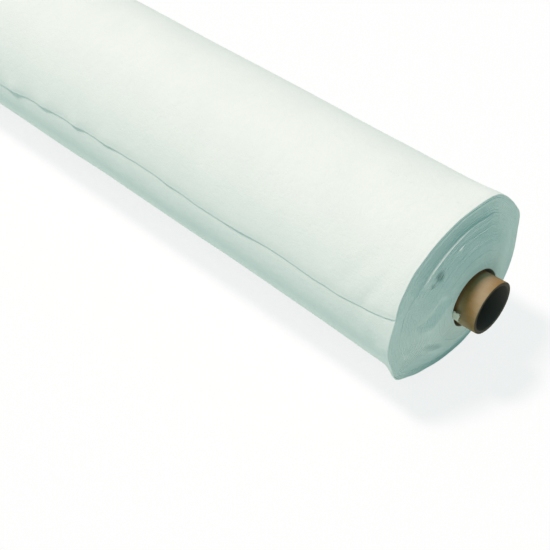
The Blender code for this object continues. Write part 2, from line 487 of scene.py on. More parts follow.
@dataclass(frozen=True)
class Slip:
    """How far a turn has slid out of the roll, by angle.

    Attributes:
        places: pairs of an angle in degrees, rising from nought, and the distance there.
    """

    places: tuple[tuple[float, float], ...]

    def at(self, angle: Array) -> Array:
        """Return the distance, eased from one place to the next and closed round the roll.

        Args:
            angle: places round the roll.

        Returns:
            Distances towards +X.
        """
        knots = np.array([place[0] for place in self.places] + [TURN_DEGREES])
        slips = np.array([place[1] for place in self.places] + [self.places[0][1]])
        degrees = np.degrees(angle) % TURN_DEGREES
        before = np.clip(np.searchsorted(knots, degrees, side="right") - 1, 0, len(knots) - 2)
        share = smooth_step((degrees - knots[before]) / (knots[before + 1] - knots[before]))
        return slips[before] + (slips[before + 1] - slips[before]) * share


@dataclass(frozen=True)
class Relief:
    """What the weight, the handling and the loose winding did to the roll's form.

    All turns go through one smooth change of place, so that none passes through another.

    Attributes:
        ridge_slip: how far the ridge stands out past the last wrap's even place.
        ridge_lip, lip_swing: how far it stands out past the turn outside it, and the angle
            over which that grows.
        rim_slip: how far the outermost turn has slid out.
        ridge_turns, ridge_reach: turns from the ring in to the ridge, and how far it fades.
        ramp_power: power with which the face climbs from the rim to the ridge.
        wave_low_rate, wave_top_rate: least and greatest rate, in radians a metre.
        wave_calm_rate, wave_top_rounds: rate at which a wave is half as high, and the most
            waves round the roll.
        depth, end_depth: how far in from the outside and the +X side the relief fades.
        foot_reach: angle round the foot without waves.
        rim_squeeze, rim_reach: share by which the loose wraps close up at a rim, and where.
        face, face_rise: the face's broad swells.
        sag, dip: how far the hole's upper side hangs down, and its left side lies back.
        sag_reach: radial distance over which both fade.
    """

    form: RollForm
    dents: tuple[Dent, ...]
    pockets: tuple[Pocket, ...]
    creases: tuple[Crease, ...]
    ridge_slip: Slip
    ridge_lip: Slip
    rim_slip: Slip
    ridge_turns: int = 8
    ridge_reach: float = 0.046
    ramp_power: float = 1.8
    lip_swing: float = math.radians(70)
    wave_rise: float = 0.00035
    wave_count: int = 14
    wave_seed: int = 5
    wave_low_rate: float = 2.0
    wave_top_rate: float = 34.0
    wave_calm_rate: float = 12.0
    wave_top_rounds: int = 6
    depth: float = 0.028
    end_depth: float = 0.035
    foot_reach: float = math.radians(38)
    rim_squeeze: float = 0.07
    rim_reach: float = 0.010
    face: Knots = Knots(11, 0.042)
    face_rise: float = 0.0018
    sag: float = 0.0028
    sag_angle: float = math.radians(58)
    sag_arc: float = 0.024
    sag_reach: float = 0.016
    dip: float = 0.0042
    dip_angle: float = math.radians(128)
    dip_arc: float = 0.042

    def pocket_shade(self, travel: Array, mid_depth: float) -> Array:
        """Return how much painted shade darkens each turn, greatest in the pockets.

        Args:
            travel: angles travelled.
            mid_depth: depth of the sheet's middle below its outer face.

        Returns:
            Shares from nought to one.
        """
        turn = self.form.outer_radius(travel) - mid_depth
        share = np.zeros_like(turn)
        for pocket in self.pockets:
            share = np.maximum(share, pocket.pocket_shaded(turn, self.form.start_angle + travel))
        return share

    def waves(self, along: Array, angle: Array) -> Array:
        """Return shallow waves, a sum of sines with whole numbers of waves round the roll.

        Args:
            along: distances from each turn's own +X side.
            angle: places round the roll.

        Returns:
            Heights, each sine the lower the higher its rate.
        """
        dice = np.random.default_rng(self.wave_seed)
        rate = dice.uniform(self.wave_low_rate, self.wave_top_rate, self.wave_count)
        rounds = dice.integers(0, self.wave_top_rounds + 1, self.wave_count)
        phase = dice.uniform(0, TURN, self.wave_count)
        total = np.zeros(np.broadcast(along, angle).shape)
        for one_rate, one_round, one_phase in zip(rate, rounds, phase):
            sine = np.sin(one_rate * along + one_round * angle + one_phase)
            total = total + sine / (1 + one_rate / self.wave_calm_rate)
        return self.wave_rise * total

    def outside(self, along: Array, angle: Array) -> Array:
        """Return the radial change of the outermost turn.

        Args:
            along: distances from each turn's own +X side.
            angle: places round the roll.

        Returns:
            The waves and swellings, faded out round the foot so that none goes below the
            ground, and the dents.
        """
        off_foot = np.abs(angle_between(angle, BOTTOM))
        off_ground = smooth_step((off_foot - self.foot_reach / 2) / self.foot_reach)
        total = self.waves(along, angle) * off_ground
        for dent in self.dents:
            height = dent.height(along, angle, self.form.roll_radius)
            total = total + (height * off_ground if dent.rise > 0 else height)
        return total

    def slip(self, travel: Array, angle: Array) -> Array:
        """Return how far the +X face is from the even cone and the even steps of the wraps.

        One turn, some way in from the wraps, stands out as a ridge. Inside it the face goes
        back to the even cone. The turns outside it climb from the last wrap's slip to the
        ridge's, less the lip by which the ridge stands out, with a power of their share of
        the depth, so that the outermost climb least.

        Args:
            travel: angles travelled.
            angle: places round the axis.

        Returns:
            Distances towards +X.
        """
        form = self.form
        ridge_travel = form.winding_travel - TURN * self.ridge_turns
        ridge_radius = form.outer_radius(np.array(ridge_travel))
        radius = form.outer_radius(travel)
        even = form.shift(travel)
        ridge = self.ridge_slip.at(angle)
        fade = 1 - smooth_step((ridge_radius - radius) / self.ridge_reach)
        inside = even + (ridge - form.shift(np.array(ridge_travel))) * fade
        lip = self.ridge_lip.at(angle) * smooth_step((travel - ridge_travel) / self.lip_swing)
        share = np.clip((form.roll_radius - radius) / (form.roll_radius - ridge_radius), 0.0, 1.0)
        rim = self.rim_slip.at(angle)
        outside = rim + (ridge - lip - rim) * share ** self.ramp_power
        return np.where(travel < ridge_travel, inside, outside) - even

    def ring_outline(self, angle: Array) -> Array:
        """Return where the loose wraps start, a fixed depth inside the roll's own section.

        Args:
            angle: places round the core's axis.

        Returns:
            Distances from that axis.
        """
        form = self.form
        outermost = form.hinge_travel + angle_between(angle, form.hinge_angle)
        y, z = form.section(outermost, np.zeros_like(angle))
        return np.hypot(y, z) - (form.roll_radius - form.ring_radius)

    def bend(self, x: Array, y: Array, z: Array, travel: Array,
             mid_depth: float) -> tuple[Array, ...]:
        """Move points about the core's axis to where the real, slack turns lie.

        The radius changes by the outside's relief, fading inwards from the ring; by the
        squeeze of the loose wraps at each rim; and near the +X face by the sag of the hole and
        the parting of turns at the pockets. Points near that face also move along the roll.

        Args:
            x: places along the roll.
            y: places across it, from the core's axis.
            z: heights, from the core's axis.
            travel: angles travelled.
            mid_depth: depth of the sheet's middle below its outer face.

        Returns:
            The three moved arrays.
        """
        form = self.form
        angle = np.arctan2(z, y)
        radius = np.hypot(y, z)
        turn = form.outer_radius(travel) - mid_depth
        front_rim = form.wrap_x + form.sheet_width / 2
        along = front_rim + form.shift(travel) - x
        to_ring = self.ring_outline(angle) - radius
        fade = np.exp(-np.maximum(to_ring, 0.0) / self.depth)
        change = self.outside(along, angle) * fade
        to_rim = np.minimum(along, form.sheet_width - along)
        squeeze = self.rim_squeeze * smooth_step(1 - to_rim / self.rim_reach)
        change = change - squeeze * np.maximum(-to_ring, 0.0)
        near = smooth_step(1 - along / self.end_depth)
        slide = self.slip(travel, angle)
        from_hole = np.maximum(radius - form.hole_radius, 0.0)
        hole_fade = np.exp(-from_hole / self.sag_reach)
        sag_way, dip_way = (form.core_radius * angle_between(angle, middle)
                            for middle in (self.sag_angle, self.dip_angle))
        change = change - near * (self.sag * bump_shape(sag_way, self.sag_arc)) * hole_fade
        slide = slide - self.dip * bump_shape(dip_way, self.dip_arc) * hole_fade
        for pocket in self.pockets:
            change = change + near * pocket.part(turn, angle)
            slide = slide + pocket.stand(turn, angle)
        swell = self.face_rise * self.face.plane(y, z)
        for crease in self.creases:
            swell = swell + crease.height(y, z)
        slide = slide + swell * smooth_step((form.roll_radius - radius) / self.depth)
        scale = 1 + change / np.maximum(radius, form.core_radius / 2)
        return x + slide * near, y * scale, z * scale


@dataclass(frozen=True)
class EdgeCurl:
    """A place where the free edge stands off the roll.

    Attributes:
        along: distance from the sheet's +X side.
        lift: height that it adds at the edge.
        width: half-width along the edge.
    """

    along: float
    lift: float
    width: float


class LoopGrid:
    """Rows of closed loops of points, which make one closed body with flat or blunt ends.

    A loop runs over the outer face towards +X, round the +X edge, back under the inner
    face and round the other edge.
    """

    def __init__(self, points: Array, cloth: Array, marks: dict[str, Array],
                 face_columns: int) -> None:
        """Keep the arrays.

        Args:
            points: rows by loop by 3.
            cloth: rows by loop and one by 2, the place of each point on the flat cloth.
            marks: numbers from nought to one for the finish, by name, each rows by loop.
            face_columns: how many points of a loop are on the outer face.
        """
        self.points = points
        self.cloth = cloth
        self.marks = marks
        self.face_columns = face_columns

    def quads(self) -> tuple[Array, Array]:
        """Return the side faces, each with four corners.

        Returns:
            The corners' vertices, and their places in the cloth array.
        """
        rows, loop = self.points.shape[:2]
        down, on = cell_corners(rows - 1, loop)
        return down * loop + on % loop, down * (loop + 1) + on

    def caps(self) -> list[list[int]]:
        """Return the faces that close the first and the last row.

        Each outer point is joined to the inner point under it, and each round edge is one
        face.

        Returns:
            Lists of vertices, one for each face.
        """
        rows, loop = self.points.shape[:2]
        columns = self.face_columns
        rounding = (loop - 2 * columns) // 2
        mirror = 2 * columns + rounding - 1
        first = [[j, j + 1, mirror - j - 1, mirror - j] for j in range(columns - 1)]
        first.append(list(range(columns - 1, columns + rounding + 1)))
        first.append(list(range(mirror, loop)) + [0])
        last = [[(rows - 1) * loop + j for j in reversed(face)] for face in first]
        return first + last

    def build(self, name: str, sharp_angle: float = SHARP_SIDE) -> bpy.types.Object:
        """Make the object, shaded smooth, with its cloth map and its marks.

        Args:
            name: the piece's name.
            sharp_angle: angle past which an edge stays sharp.

        Returns:
            The new object, linked to the scene.
        """
        loop = self.points.shape[1]
        sides, places = self.quads()
        caps = self.caps()
        cap_corners = np.array([corner for face in caps for corner in face])
        cap_places = cap_corners // loop * (loop + 1) + cap_corners % loop
        corners = np.concatenate([places.ravel(), cap_places])
        return new_piece(name, self.points, sides.tolist() + caps, "cloth",
                         self.cloth.reshape(-1, 2)[corners], self.marks, sharp_angle)


def cell_corners(rows: int, columns: int) -> tuple[Array, Array]:
    """Return the corners of a grid's cells, in the order that turns their faces outwards.

    Args:
        rows: how many cells the grid has down.
        columns: how many it has across.

    Returns:
        The corners' rows and their columns, each cells by 4.
    """
    row, column = np.meshgrid(np.arange(rows), np.arange(columns), indexing="ij")
    row, column = row.ravel(), column.ravel()
    return (np.stack([row, row + 1, row + 1, row], axis=1),
            np.stack([column, column, column + 1, column + 1], axis=1))


def new_piece(name: str, points: Array, faces: list[list[int]], map_name: str,
              places: Array, marks: dict[str, Array], sharp_angle: float) -> bpy.types.Object:
    """Make a piece at the origin, shaded smooth, with a flat map and its marks.

    Args:
        name: the piece's name, also its mesh's.
        points: its vertices, in an array whose last axis is x, y and z.
        faces: the vertices of each face.
        map_name: name of the flat map.
        places: two numbers for each face corner.
        marks: numbers for the finish, one for each vertex, by name.
        sharp_angle: angle past which an edge stays sharp.

    Returns:
        The object, linked to the scene.
    """
    mesh = bpy.data.meshes.new(name)
    mesh.from_pydata(points.reshape(-1, 3).tolist(), [], faces)
    layer = mesh.uv_layers.new(name=map_name)
    layer.data.foreach_set("uv", places.astype(np.float32).ravel())
    for mark, values in marks.items():
        layer = mesh.attributes.new(mark, "FLOAT", "POINT")
        layer.data.foreach_set("value", np.asarray(values, dtype=np.float32).ravel())
    mesh.validate()
    mesh.update()
    mesh.shade_smooth()
    mesh.set_sharp_from_angle(angle=sharp_angle)
    return placed(name, mesh)


def placed(name: str, data: bpy.types.ID) -> bpy.types.Object:
    """Make an object and link it to the scene.

    Args:
        name: its name.
        data: its mesh, lamp or camera.

    Returns:
        The object.
    """
    thing = bpy.data.objects.new(name, data)
    bpy.context.scene.collection.objects.link(thing)
    return thing


@dataclass(frozen=True)
class Spacing:
    """How the points across a sheet are spaced, closest by its two sides.

    Attributes:
        stretches: pairs of how far from the +X side a stretch goes and its step.
    """

    stretches: tuple[tuple[float, float], ...]

    def places(self, first: float, last: float) -> Array:
        """Return distances from the +X side, each stretch evenly spaced.

        Args:
            first: the first distance.
            last: the last distance.

        Returns:
            Rising distances with both ends.
        """
        places = [np.array([first])]
        start = first
        for end, step in self.stretches:
            stop = min(end, last)
            count = max(1, round((stop - start) / step))
            places.append(np.linspace(start, stop, count + 1)[1:])
            start = stop
        return np.concatenate(places)


HIDDEN_SPACING = Spacing(((0.006, 0.0015), (0.012, 0.003), (0.06, 0.012), (0.15, 0.045),
                          (1.85, 0.34), (1.94, 0.045), (1.988, 0.012), (1.994, 0.003),
                          (RollForm.sheet_width, 0.0015)))
FINE_SPACING = Spacing(((0.006, 0.0015), (0.06, 0.003), (0.15, 0.006), (1.0, 0.010), (1.85, 0.016),
                        (1.94, 0.009), (1.994, 0.004), (RollForm.sheet_width, 0.002)))


class Sheet:
    """A stretch of the wound sheet, from one travel to another.

    Attributes:
        side_depth: how far the round of a cut side reaches into the sheet.
        bloom_reach: distance over which the fibres' bloom fades from that side.
        stray_reach: distance over which the side's straying fades.
        strays: the side's strays, each a seed, the angle between its knots and its size.
    """

    side_depth: float = 0.0005
    bloom_reach: float = 0.004
    stray_reach: float = 0.05
    strays: tuple[tuple[int, float, float], ...] = (
        (21, 0.9, 0.00018), (31, 4.3, 0.00030), (41, 21.0, 0.0005))

    def __init__(self, form: RollForm, relief: Relief, thickness: float, rounding: int,
                 bloom: float = 0.0) -> None:
        """Keep what every stretch shares.

        Args:
            form: the roll's form.
            relief: what changes it.
            thickness: the sheet's thickness in this stretch.
            rounding: points round each cut side.
            bloom: how far the fibres of a cut side stand out from each face.
        """
        self.form = form
        self.relief = relief
        self.thickness = thickness
        self.rounding = rounding
        self.bloom = bloom

    def loop(self, places: Array) -> tuple[Array, Array, Array]:
        """Return the loop's distances from the +X side, its insets and its cut edges.

        Each side is half an ellipse across the thickness, to which the bloom adds
        exp(-(distance / reach)^2) on both faces.

        Args:
            places: distances of the face's points from the +X side, rising.

        Returns:
            Three arrays of the loop's length.
        """
        half = self.thickness / 2
        sweep = half_turn(self.rounding)
        near_along = self.side_depth * (1 - np.sin(sweep))
        near_inset = half - (half + self.bloom) * np.cos(sweep)
        far_along = self.form.sheet_width - near_along
        to_side = np.minimum(places, self.form.sheet_width - places)
        bloom = self.bloom * bump_shape(to_side, self.bloom_reach)
        along = np.concatenate([places[::-1], near_along, places, far_along[::-1]])
        inset = np.concatenate([-bloom[::-1], near_inset, self.thickness + bloom, near_inset[::-1]])
        edge = np.concatenate([np.zeros_like(places), np.ones_like(sweep),
                               np.zeros_like(places), np.ones_like(sweep)])
        return along, inset, edge

    def face_places(self, spacing: Spacing) -> Array:
        """Return the face's points across the sheet, between its two rounded sides."""
        return spacing.places(self.side_depth, self.form.sheet_width - self.side_depth)

    def wander(self, travel: Array, side: int) -> Array:
        """Return how far a cut side strays from its place, nought for +X and one for -X."""
        return sum(size * Knots(seed + side, cell).line(travel) for seed, cell, size in self.strays)

    def lay(self, travel: Array, along: Array, inset: Array) -> Array:
        """Return points of the sheet in the roll's place on the ground.

        Args:
            travel: angles travelled.
            along: distances from the sheet's +X side.
            inset: depths below the outer face.

        Returns:
            An array with one more axis, of three places.
        """
        form = self.form
        y, z = form.section(travel, inset)
        stray = self.wander(travel, 0) * np.exp(-along / self.stray_reach)
        from_far = form.sheet_width - along
        stray = stray + self.wander(travel, 1) * np.exp(-from_far / self.stray_reach)
        x = form.wrap_x + form.sheet_width / 2 - along + form.shift(travel) + stray
        x, y, z = self.relief.bend(x, y, z, travel, self.thickness / 2)
        return np.stack([x, y + form.axis_y, np.maximum(z + form.axis_z, 0.0)], axis=-1)

    def cloth_map(self, travel: Array, along: Array) -> Array:
        """Return each point's place on the flat cloth, closed by a copy of the first.

        Two points of a round side are at least a quarter of the thickness apart there.

        Args:
            travel: angles travelled, rows by loop.
            along: distances from the +X side round the loop.

        Returns:
            Lengths along and across the cloth, rows by loop and one by 2.
        """
        u = self.form.arc_length(travel)
        steps = np.abs(np.diff(np.append(along, along[0])))
        v = np.concatenate([[0.0], np.cumsum(np.maximum(steps, self.thickness / 4))])
        u = np.concatenate([u, u[:, :1]], axis=1)
        return np.stack([u, np.broadcast_to(v, u.shape)], axis=-1)

    def strip(self, name: str, travel: Array, places: Array) -> bpy.types.Object:
        """Make a stretch whose rows each have one travel.

        Args:
            name: the piece's name.
            travel: the rows' travels, rising.
            places: the face's points across the sheet.

        Returns:
            The object.
        """
        along, inset, edge = self.loop(places)
        rows = np.broadcast_to(travel[:, None], (len(travel), len(along)))
        points = self.lay(rows, along, inset)
        inner_face = inset > self.thickness / 2
        near = along < self.form.sheet_width / 2
        # Painted shade: the cut sides and inner faces next to the pockets are darkened where the
        # gaps' shade falls.
        pocket_shade = self.relief.pocket_shade(rows, self.thickness / 2) * np.maximum(edge, inner_face) * near
        marks = {"cut_edge": np.broadcast_to(edge, rows.shape),
                 # Painted shade on the first turn's inner face, which lines the hole.
                 "hole_shade": (rows < TURN) & inner_face,
                 "pocket_shade": pocket_shade}
        return LoopGrid(points, self.cloth_map(rows, along), marks, len(places)).build(name)


@dataclass(frozen=True)
class InnerWindings:
    """The tight inner turns, one unbroken spiral from the core to the ring.

    Attributes:
        step: angle from one row of points to the next.
        close_step: the same from close_from to close_to, where the face is disturbed.
        rounding: points round each cut side.
    """

    form: RollForm
    relief: Relief
    step: float = math.radians(3.4)
    close_step: float = math.radians(1.15)
    close_from: float = math.radians(96)
    close_to: float = math.radians(148)
    rounding: int = 3

    def travels(self) -> Array:
        """Return the rows' travels, closer where the face is disturbed, alike in each turn.

        Returns:
            Rising travels from the sheet's first edge to the ring.
        """
        first = self.close_from + TURN - self.form.start_angle
        last = self.close_to + TURN - self.form.start_angle
        stretches = ((0.0, first, self.step), (first, last, self.close_step),
                     (last, TURN, self.step))
        one_turn = np.concatenate([spaced(*stretch)[:-1] for stretch in stretches])
        turns = TURN * np.arange(self.form.winding_turns)
        return np.append((turns[:, None] + one_turn).ravel(), self.form.winding_travel)

    def build(self) -> bpy.types.Object:
        """Lay all the turns as one strip with rounded cut sides.

        Returns:
            The object.
        """
        form = self.form
        sheet = Sheet(form, self.relief, form.winding_thickness, self.rounding)
        travel = self.travels()
        places = sheet.face_places(Spacing(((form.sheet_width, form.sheet_width),)))
        piece = sheet.strip("inner_windings_fleece", travel, places)
        length = form.length(0.0, form.winding_travel)
        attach(piece, Body.ROLL.value)
        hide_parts("inner_windings")
        return piece


@dataclass(frozen=True)
class OuterWraps:
    """The loose outer wraps: the hidden ones, and the last one down the front.

    Attributes:
        under_angle: where the last wrap starts, hidden by the free end.
        split_angle: where it hands over to the sheet that comes over the back.
        step, hidden_step: angle between two rows of the last wrap, and of those under it.
        rounding, bloom: points round each cut side, and how far its fibres stand out.
    """

    form: RollForm
    relief: Relief
    under_angle: float = math.radians(105)
    split_angle: float = math.radians(310)
    step: float = math.radians(2.5)
    hidden_step: float = math.radians(3.2)
    rounding: int = 5
    bloom: float = 0.00046

    @property
    def front_travel(self) -> float:
        """Angle travelled where the last wrap starts."""
        return self.form.hinge_travel - TURN - (self.form.hinge_angle - self.under_angle)

    @property
    def split_travel(self) -> float:
        """Angle travelled where the last wrap hands over."""
        return self.front_travel + self.split_angle - self.under_angle

    def build(self) -> list[bpy.types.Object]:
        """Returns:
            The two objects.
        """
        form = self.form
        sheet = Sheet(form, self.relief, form.thickness, self.rounding, self.bloom)
        hidden = spaced(form.winding_travel, self.front_travel, self.hidden_step)
        under = sheet.strip("under_wraps_fleece", hidden, sheet.face_places(HIDDEN_SPACING))
        shown = spaced(self.front_travel, self.split_travel, self.step)
        front = sheet.strip("front_wrap_fleece", shown, sheet.face_places(FINE_SPACING))
        lengths = (form.length(form.winding_travel, self.front_travel),
                   form.length(self.front_travel, self.split_travel))
        beds = ("inner_windings_fleece", "under_wraps_fleece")
        for piece, length, bed in zip((under, front), lengths, beds):
            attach(piece, Body.ROLL.value)
        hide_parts("outer_wraps")
        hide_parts("outer_wraps")
        return [under, front]


@dataclass(frozen=True)
class FreeEnd:
    """The end of the sheet: over the back and the top, and down the front to its cut edge.

    The cut edge wanders: it drifts lower away from the +X end, is drawn back at the +X
    corner, waves gently and stands off the roll in places.

    Attributes:
        start_travel, edge_angle: where this stretch starts, and the place of its cut edge.
        drift: how much lower the edge lies in the end.
        corner_pull: how far it is drawn back at the +X corner.
        calm_share: share of the ripple near that corner; it grows from calm_end on.
        step, edge_rows, edge_zone: angle between rows, and the closer rows at the edge.
        nose, nose_angles: the cut edge's round, and its rows in degrees.
        cut_full: fullness below which the surface counts as cut.
        settle: how far the edge lies into the wrap below.
        thinning: share by which the sheet is thinner at its edge.
        fold_reach: distance from the edge over which a curl fades.
        bend_reach: half the length of a stretch about the hinge.
        bloom, rounding: as in the outer wraps.
        edge_samples: places at which the edge is measured for the sheet's length.
    """

    form: RollForm
    relief: Relief
    curls: tuple[EdgeCurl, ...]
    start_travel: float
    edge_angle: float = math.radians(169.7)
    drift: float = 0.019
    drift_start: float = 0.66
    drift_length: float = 0.30
    corner_pull: float = 0.0170
    corner_reach: float = 0.075
    wave: float = 0.0022
    wave_length: float = 0.31
    ripple: float = 0.0011
    ripples: Knots = Knots(7, 0.021)
    calm_share: float = 0.6
    calm_end: float = 0.25
    calm_length: float = 0.5
    step: float = math.radians(2.5)
    edge_rows: int = 12
    edge_zone: float = 0.024
    nose: float = 0.0011
    nose_angles: tuple[float, ...] = (22.0, 42.0, 60.0, 75.0, 86.0)
    cut_full: float = 0.95
    settle: float = 0.0007
    settle_reach: float = 0.014
    thinning: float = 0.45
    thin_reach: float = 0.007
    fold_reach: float = 0.022
    bend_reach: float = 0.02
    bloom: float = 0.0003
    rounding: int = 5
    edge_samples: int = 200

    def edge_travel(self, along: Array) -> Array:
        """Return the travel at the cut edge, by distance from the sheet's +X side.

        The nominal angle, plus a smooth step for the drift, less an exponential for the
        corner, plus a sine for the wave and a random ripple.

        Args:
            along: distances from that side.

        Returns:
            Travels.
        """
        drift = self.drift * smooth_step((along - self.drift_start) / self.drift_length)
        pull = self.corner_pull * np.exp(-along / self.corner_reach)
        wave = self.wave * np.sin(TURN * along / self.wave_length)
        grown = smooth_step((along - self.calm_end) / self.calm_length)
        growth = self.calm_share + (1 - self.calm_share) * grown
        ripple = self.ripple * growth * self.ripples.line(along)
        nominal = self.form.hinge_travel + self.edge_angle - self.form.hinge_angle
        return nominal + (drift - pull + wave + ripple) / self.form.roll_radius

    def stand_off(self, along: Array, to_edge: Array) -> Array:
        """Return how far the cloth stands off the roll, most at the curls of its cut edge.

        Args:
            along: distances from the sheet's +X side.
            to_edge: distances from the cut edge.

        Returns:
            The curls less the settling of the edge on the wrap below, each fading with
            exp(-(distance / reach)^2).
        """
        rise = -self.settle * bump_shape(to_edge, self.settle_reach)
        for curl in self.curls:
            height = curl.lift * bump_shape(along - curl.along, curl.width)
            rise = rise + height * bump_shape(to_edge, self.fold_reach)
        return rise

    def rows(self, along: Array) -> tuple[Array, Array]:
        """Return travel and fullness for each row and column.

        Even rows lead to the hinge. From there each column's rows end at its own cut edge,
        with closer rows in the last stretch and a blunt nose, where the fullness falls
        along a quarter ellipse.

        Args:
            along: distances from the +X side, one for each column.

        Returns:
            Two arrays, rows by columns.
        """
        form = self.form
        lead = spaced(self.start_travel, form.hinge_travel, self.step)
        end = self.edge_travel(along)
        zone = self.edge_zone / form.roll_radius
        tip = self.nose / form.roll_radius
        spread = spaced(0.0, 1.0, self.step / (self.edge_angle - form.hinge_angle))[1:]
        main = form.hinge_travel + (end - zone - form.hinge_travel) * spread[:, None]
        last_share = (np.arange(1, self.edge_rows + 1) / self.edge_rows)[:, None]
        close = (end - zone) + (zone - tip) * last_share
        sweep = np.radians(self.nose_angles)[:, None]
        blunt = end - tip + tip * np.sin(sweep)
        lead = np.broadcast_to(lead[:, None], (len(lead), len(along)))
        travel = np.vstack([lead, main, close, blunt])
        full = np.ones_like(travel)
        full[-len(sweep):] = np.cos(sweep)
        return travel, full

    def build(self, hinge_place: Array) -> bpy.types.Object:
        """Lay the sheet and shape its cut edge.

        Args:
            hinge_place: a point on the line that the free end lifts about.

        Returns:
            The object.
        """
        form = self.form
        sheet = Sheet(form, self.relief, form.thickness, self.rounding, self.bloom)
        places = sheet.face_places(FINE_SPACING)
        along, inset, edge = sheet.loop(places)
        travel, full = self.rows(along)
        half = form.thickness / 2
        depth = half + (inset - half) * full
        to_edge = (self.edge_travel(along) - travel) * form.roll_radius
        thin = 1 - self.thinning * bump_shape(to_edge, self.thin_reach)
        depth = form.thickness - (form.thickness - depth) * thin
        points = sheet.lay(travel, np.broadcast_to(along, travel.shape), depth)
        rise = self.stand_off(np.broadcast_to(along, travel.shape), to_edge)
        angle = form.start_angle + travel
        points[..., 1] += rise * np.cos(angle)
        points[..., 2] += rise * np.sin(angle)
        cut = np.maximum(np.broadcast_to(edge, travel.shape), 1 - smooth_step(full / self.cut_full))
        grid = LoopGrid(points, sheet.cloth_map(travel, along), {"cut_edge": cut}, len(places))
        piece = grid.build("free_end_fleece", SHARP_END)
        self.join(piece, hinge_place)
        return piece

    def join(self, piece: bpy.types.Object, hinge_place: Array) -> None:
        """Args:
            piece: the finished sheet.
            hinge_place: a point on the line that the free end lifts about.
        """
        form = self.form
        onward = np.array([0.0, -math.sin(form.hinge_angle), math.cos(form.hinge_angle)])
        tuple(hinge_place - self.bend_reach * onward)
        tuple(hinge_place + self.bend_reach * onward)
        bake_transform(piece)
        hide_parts("free_end")
        edge = np.mean(self.edge_travel(np.linspace(0, form.sheet_width, self.edge_samples)))
        length = form.length(self.start_travel, edge)


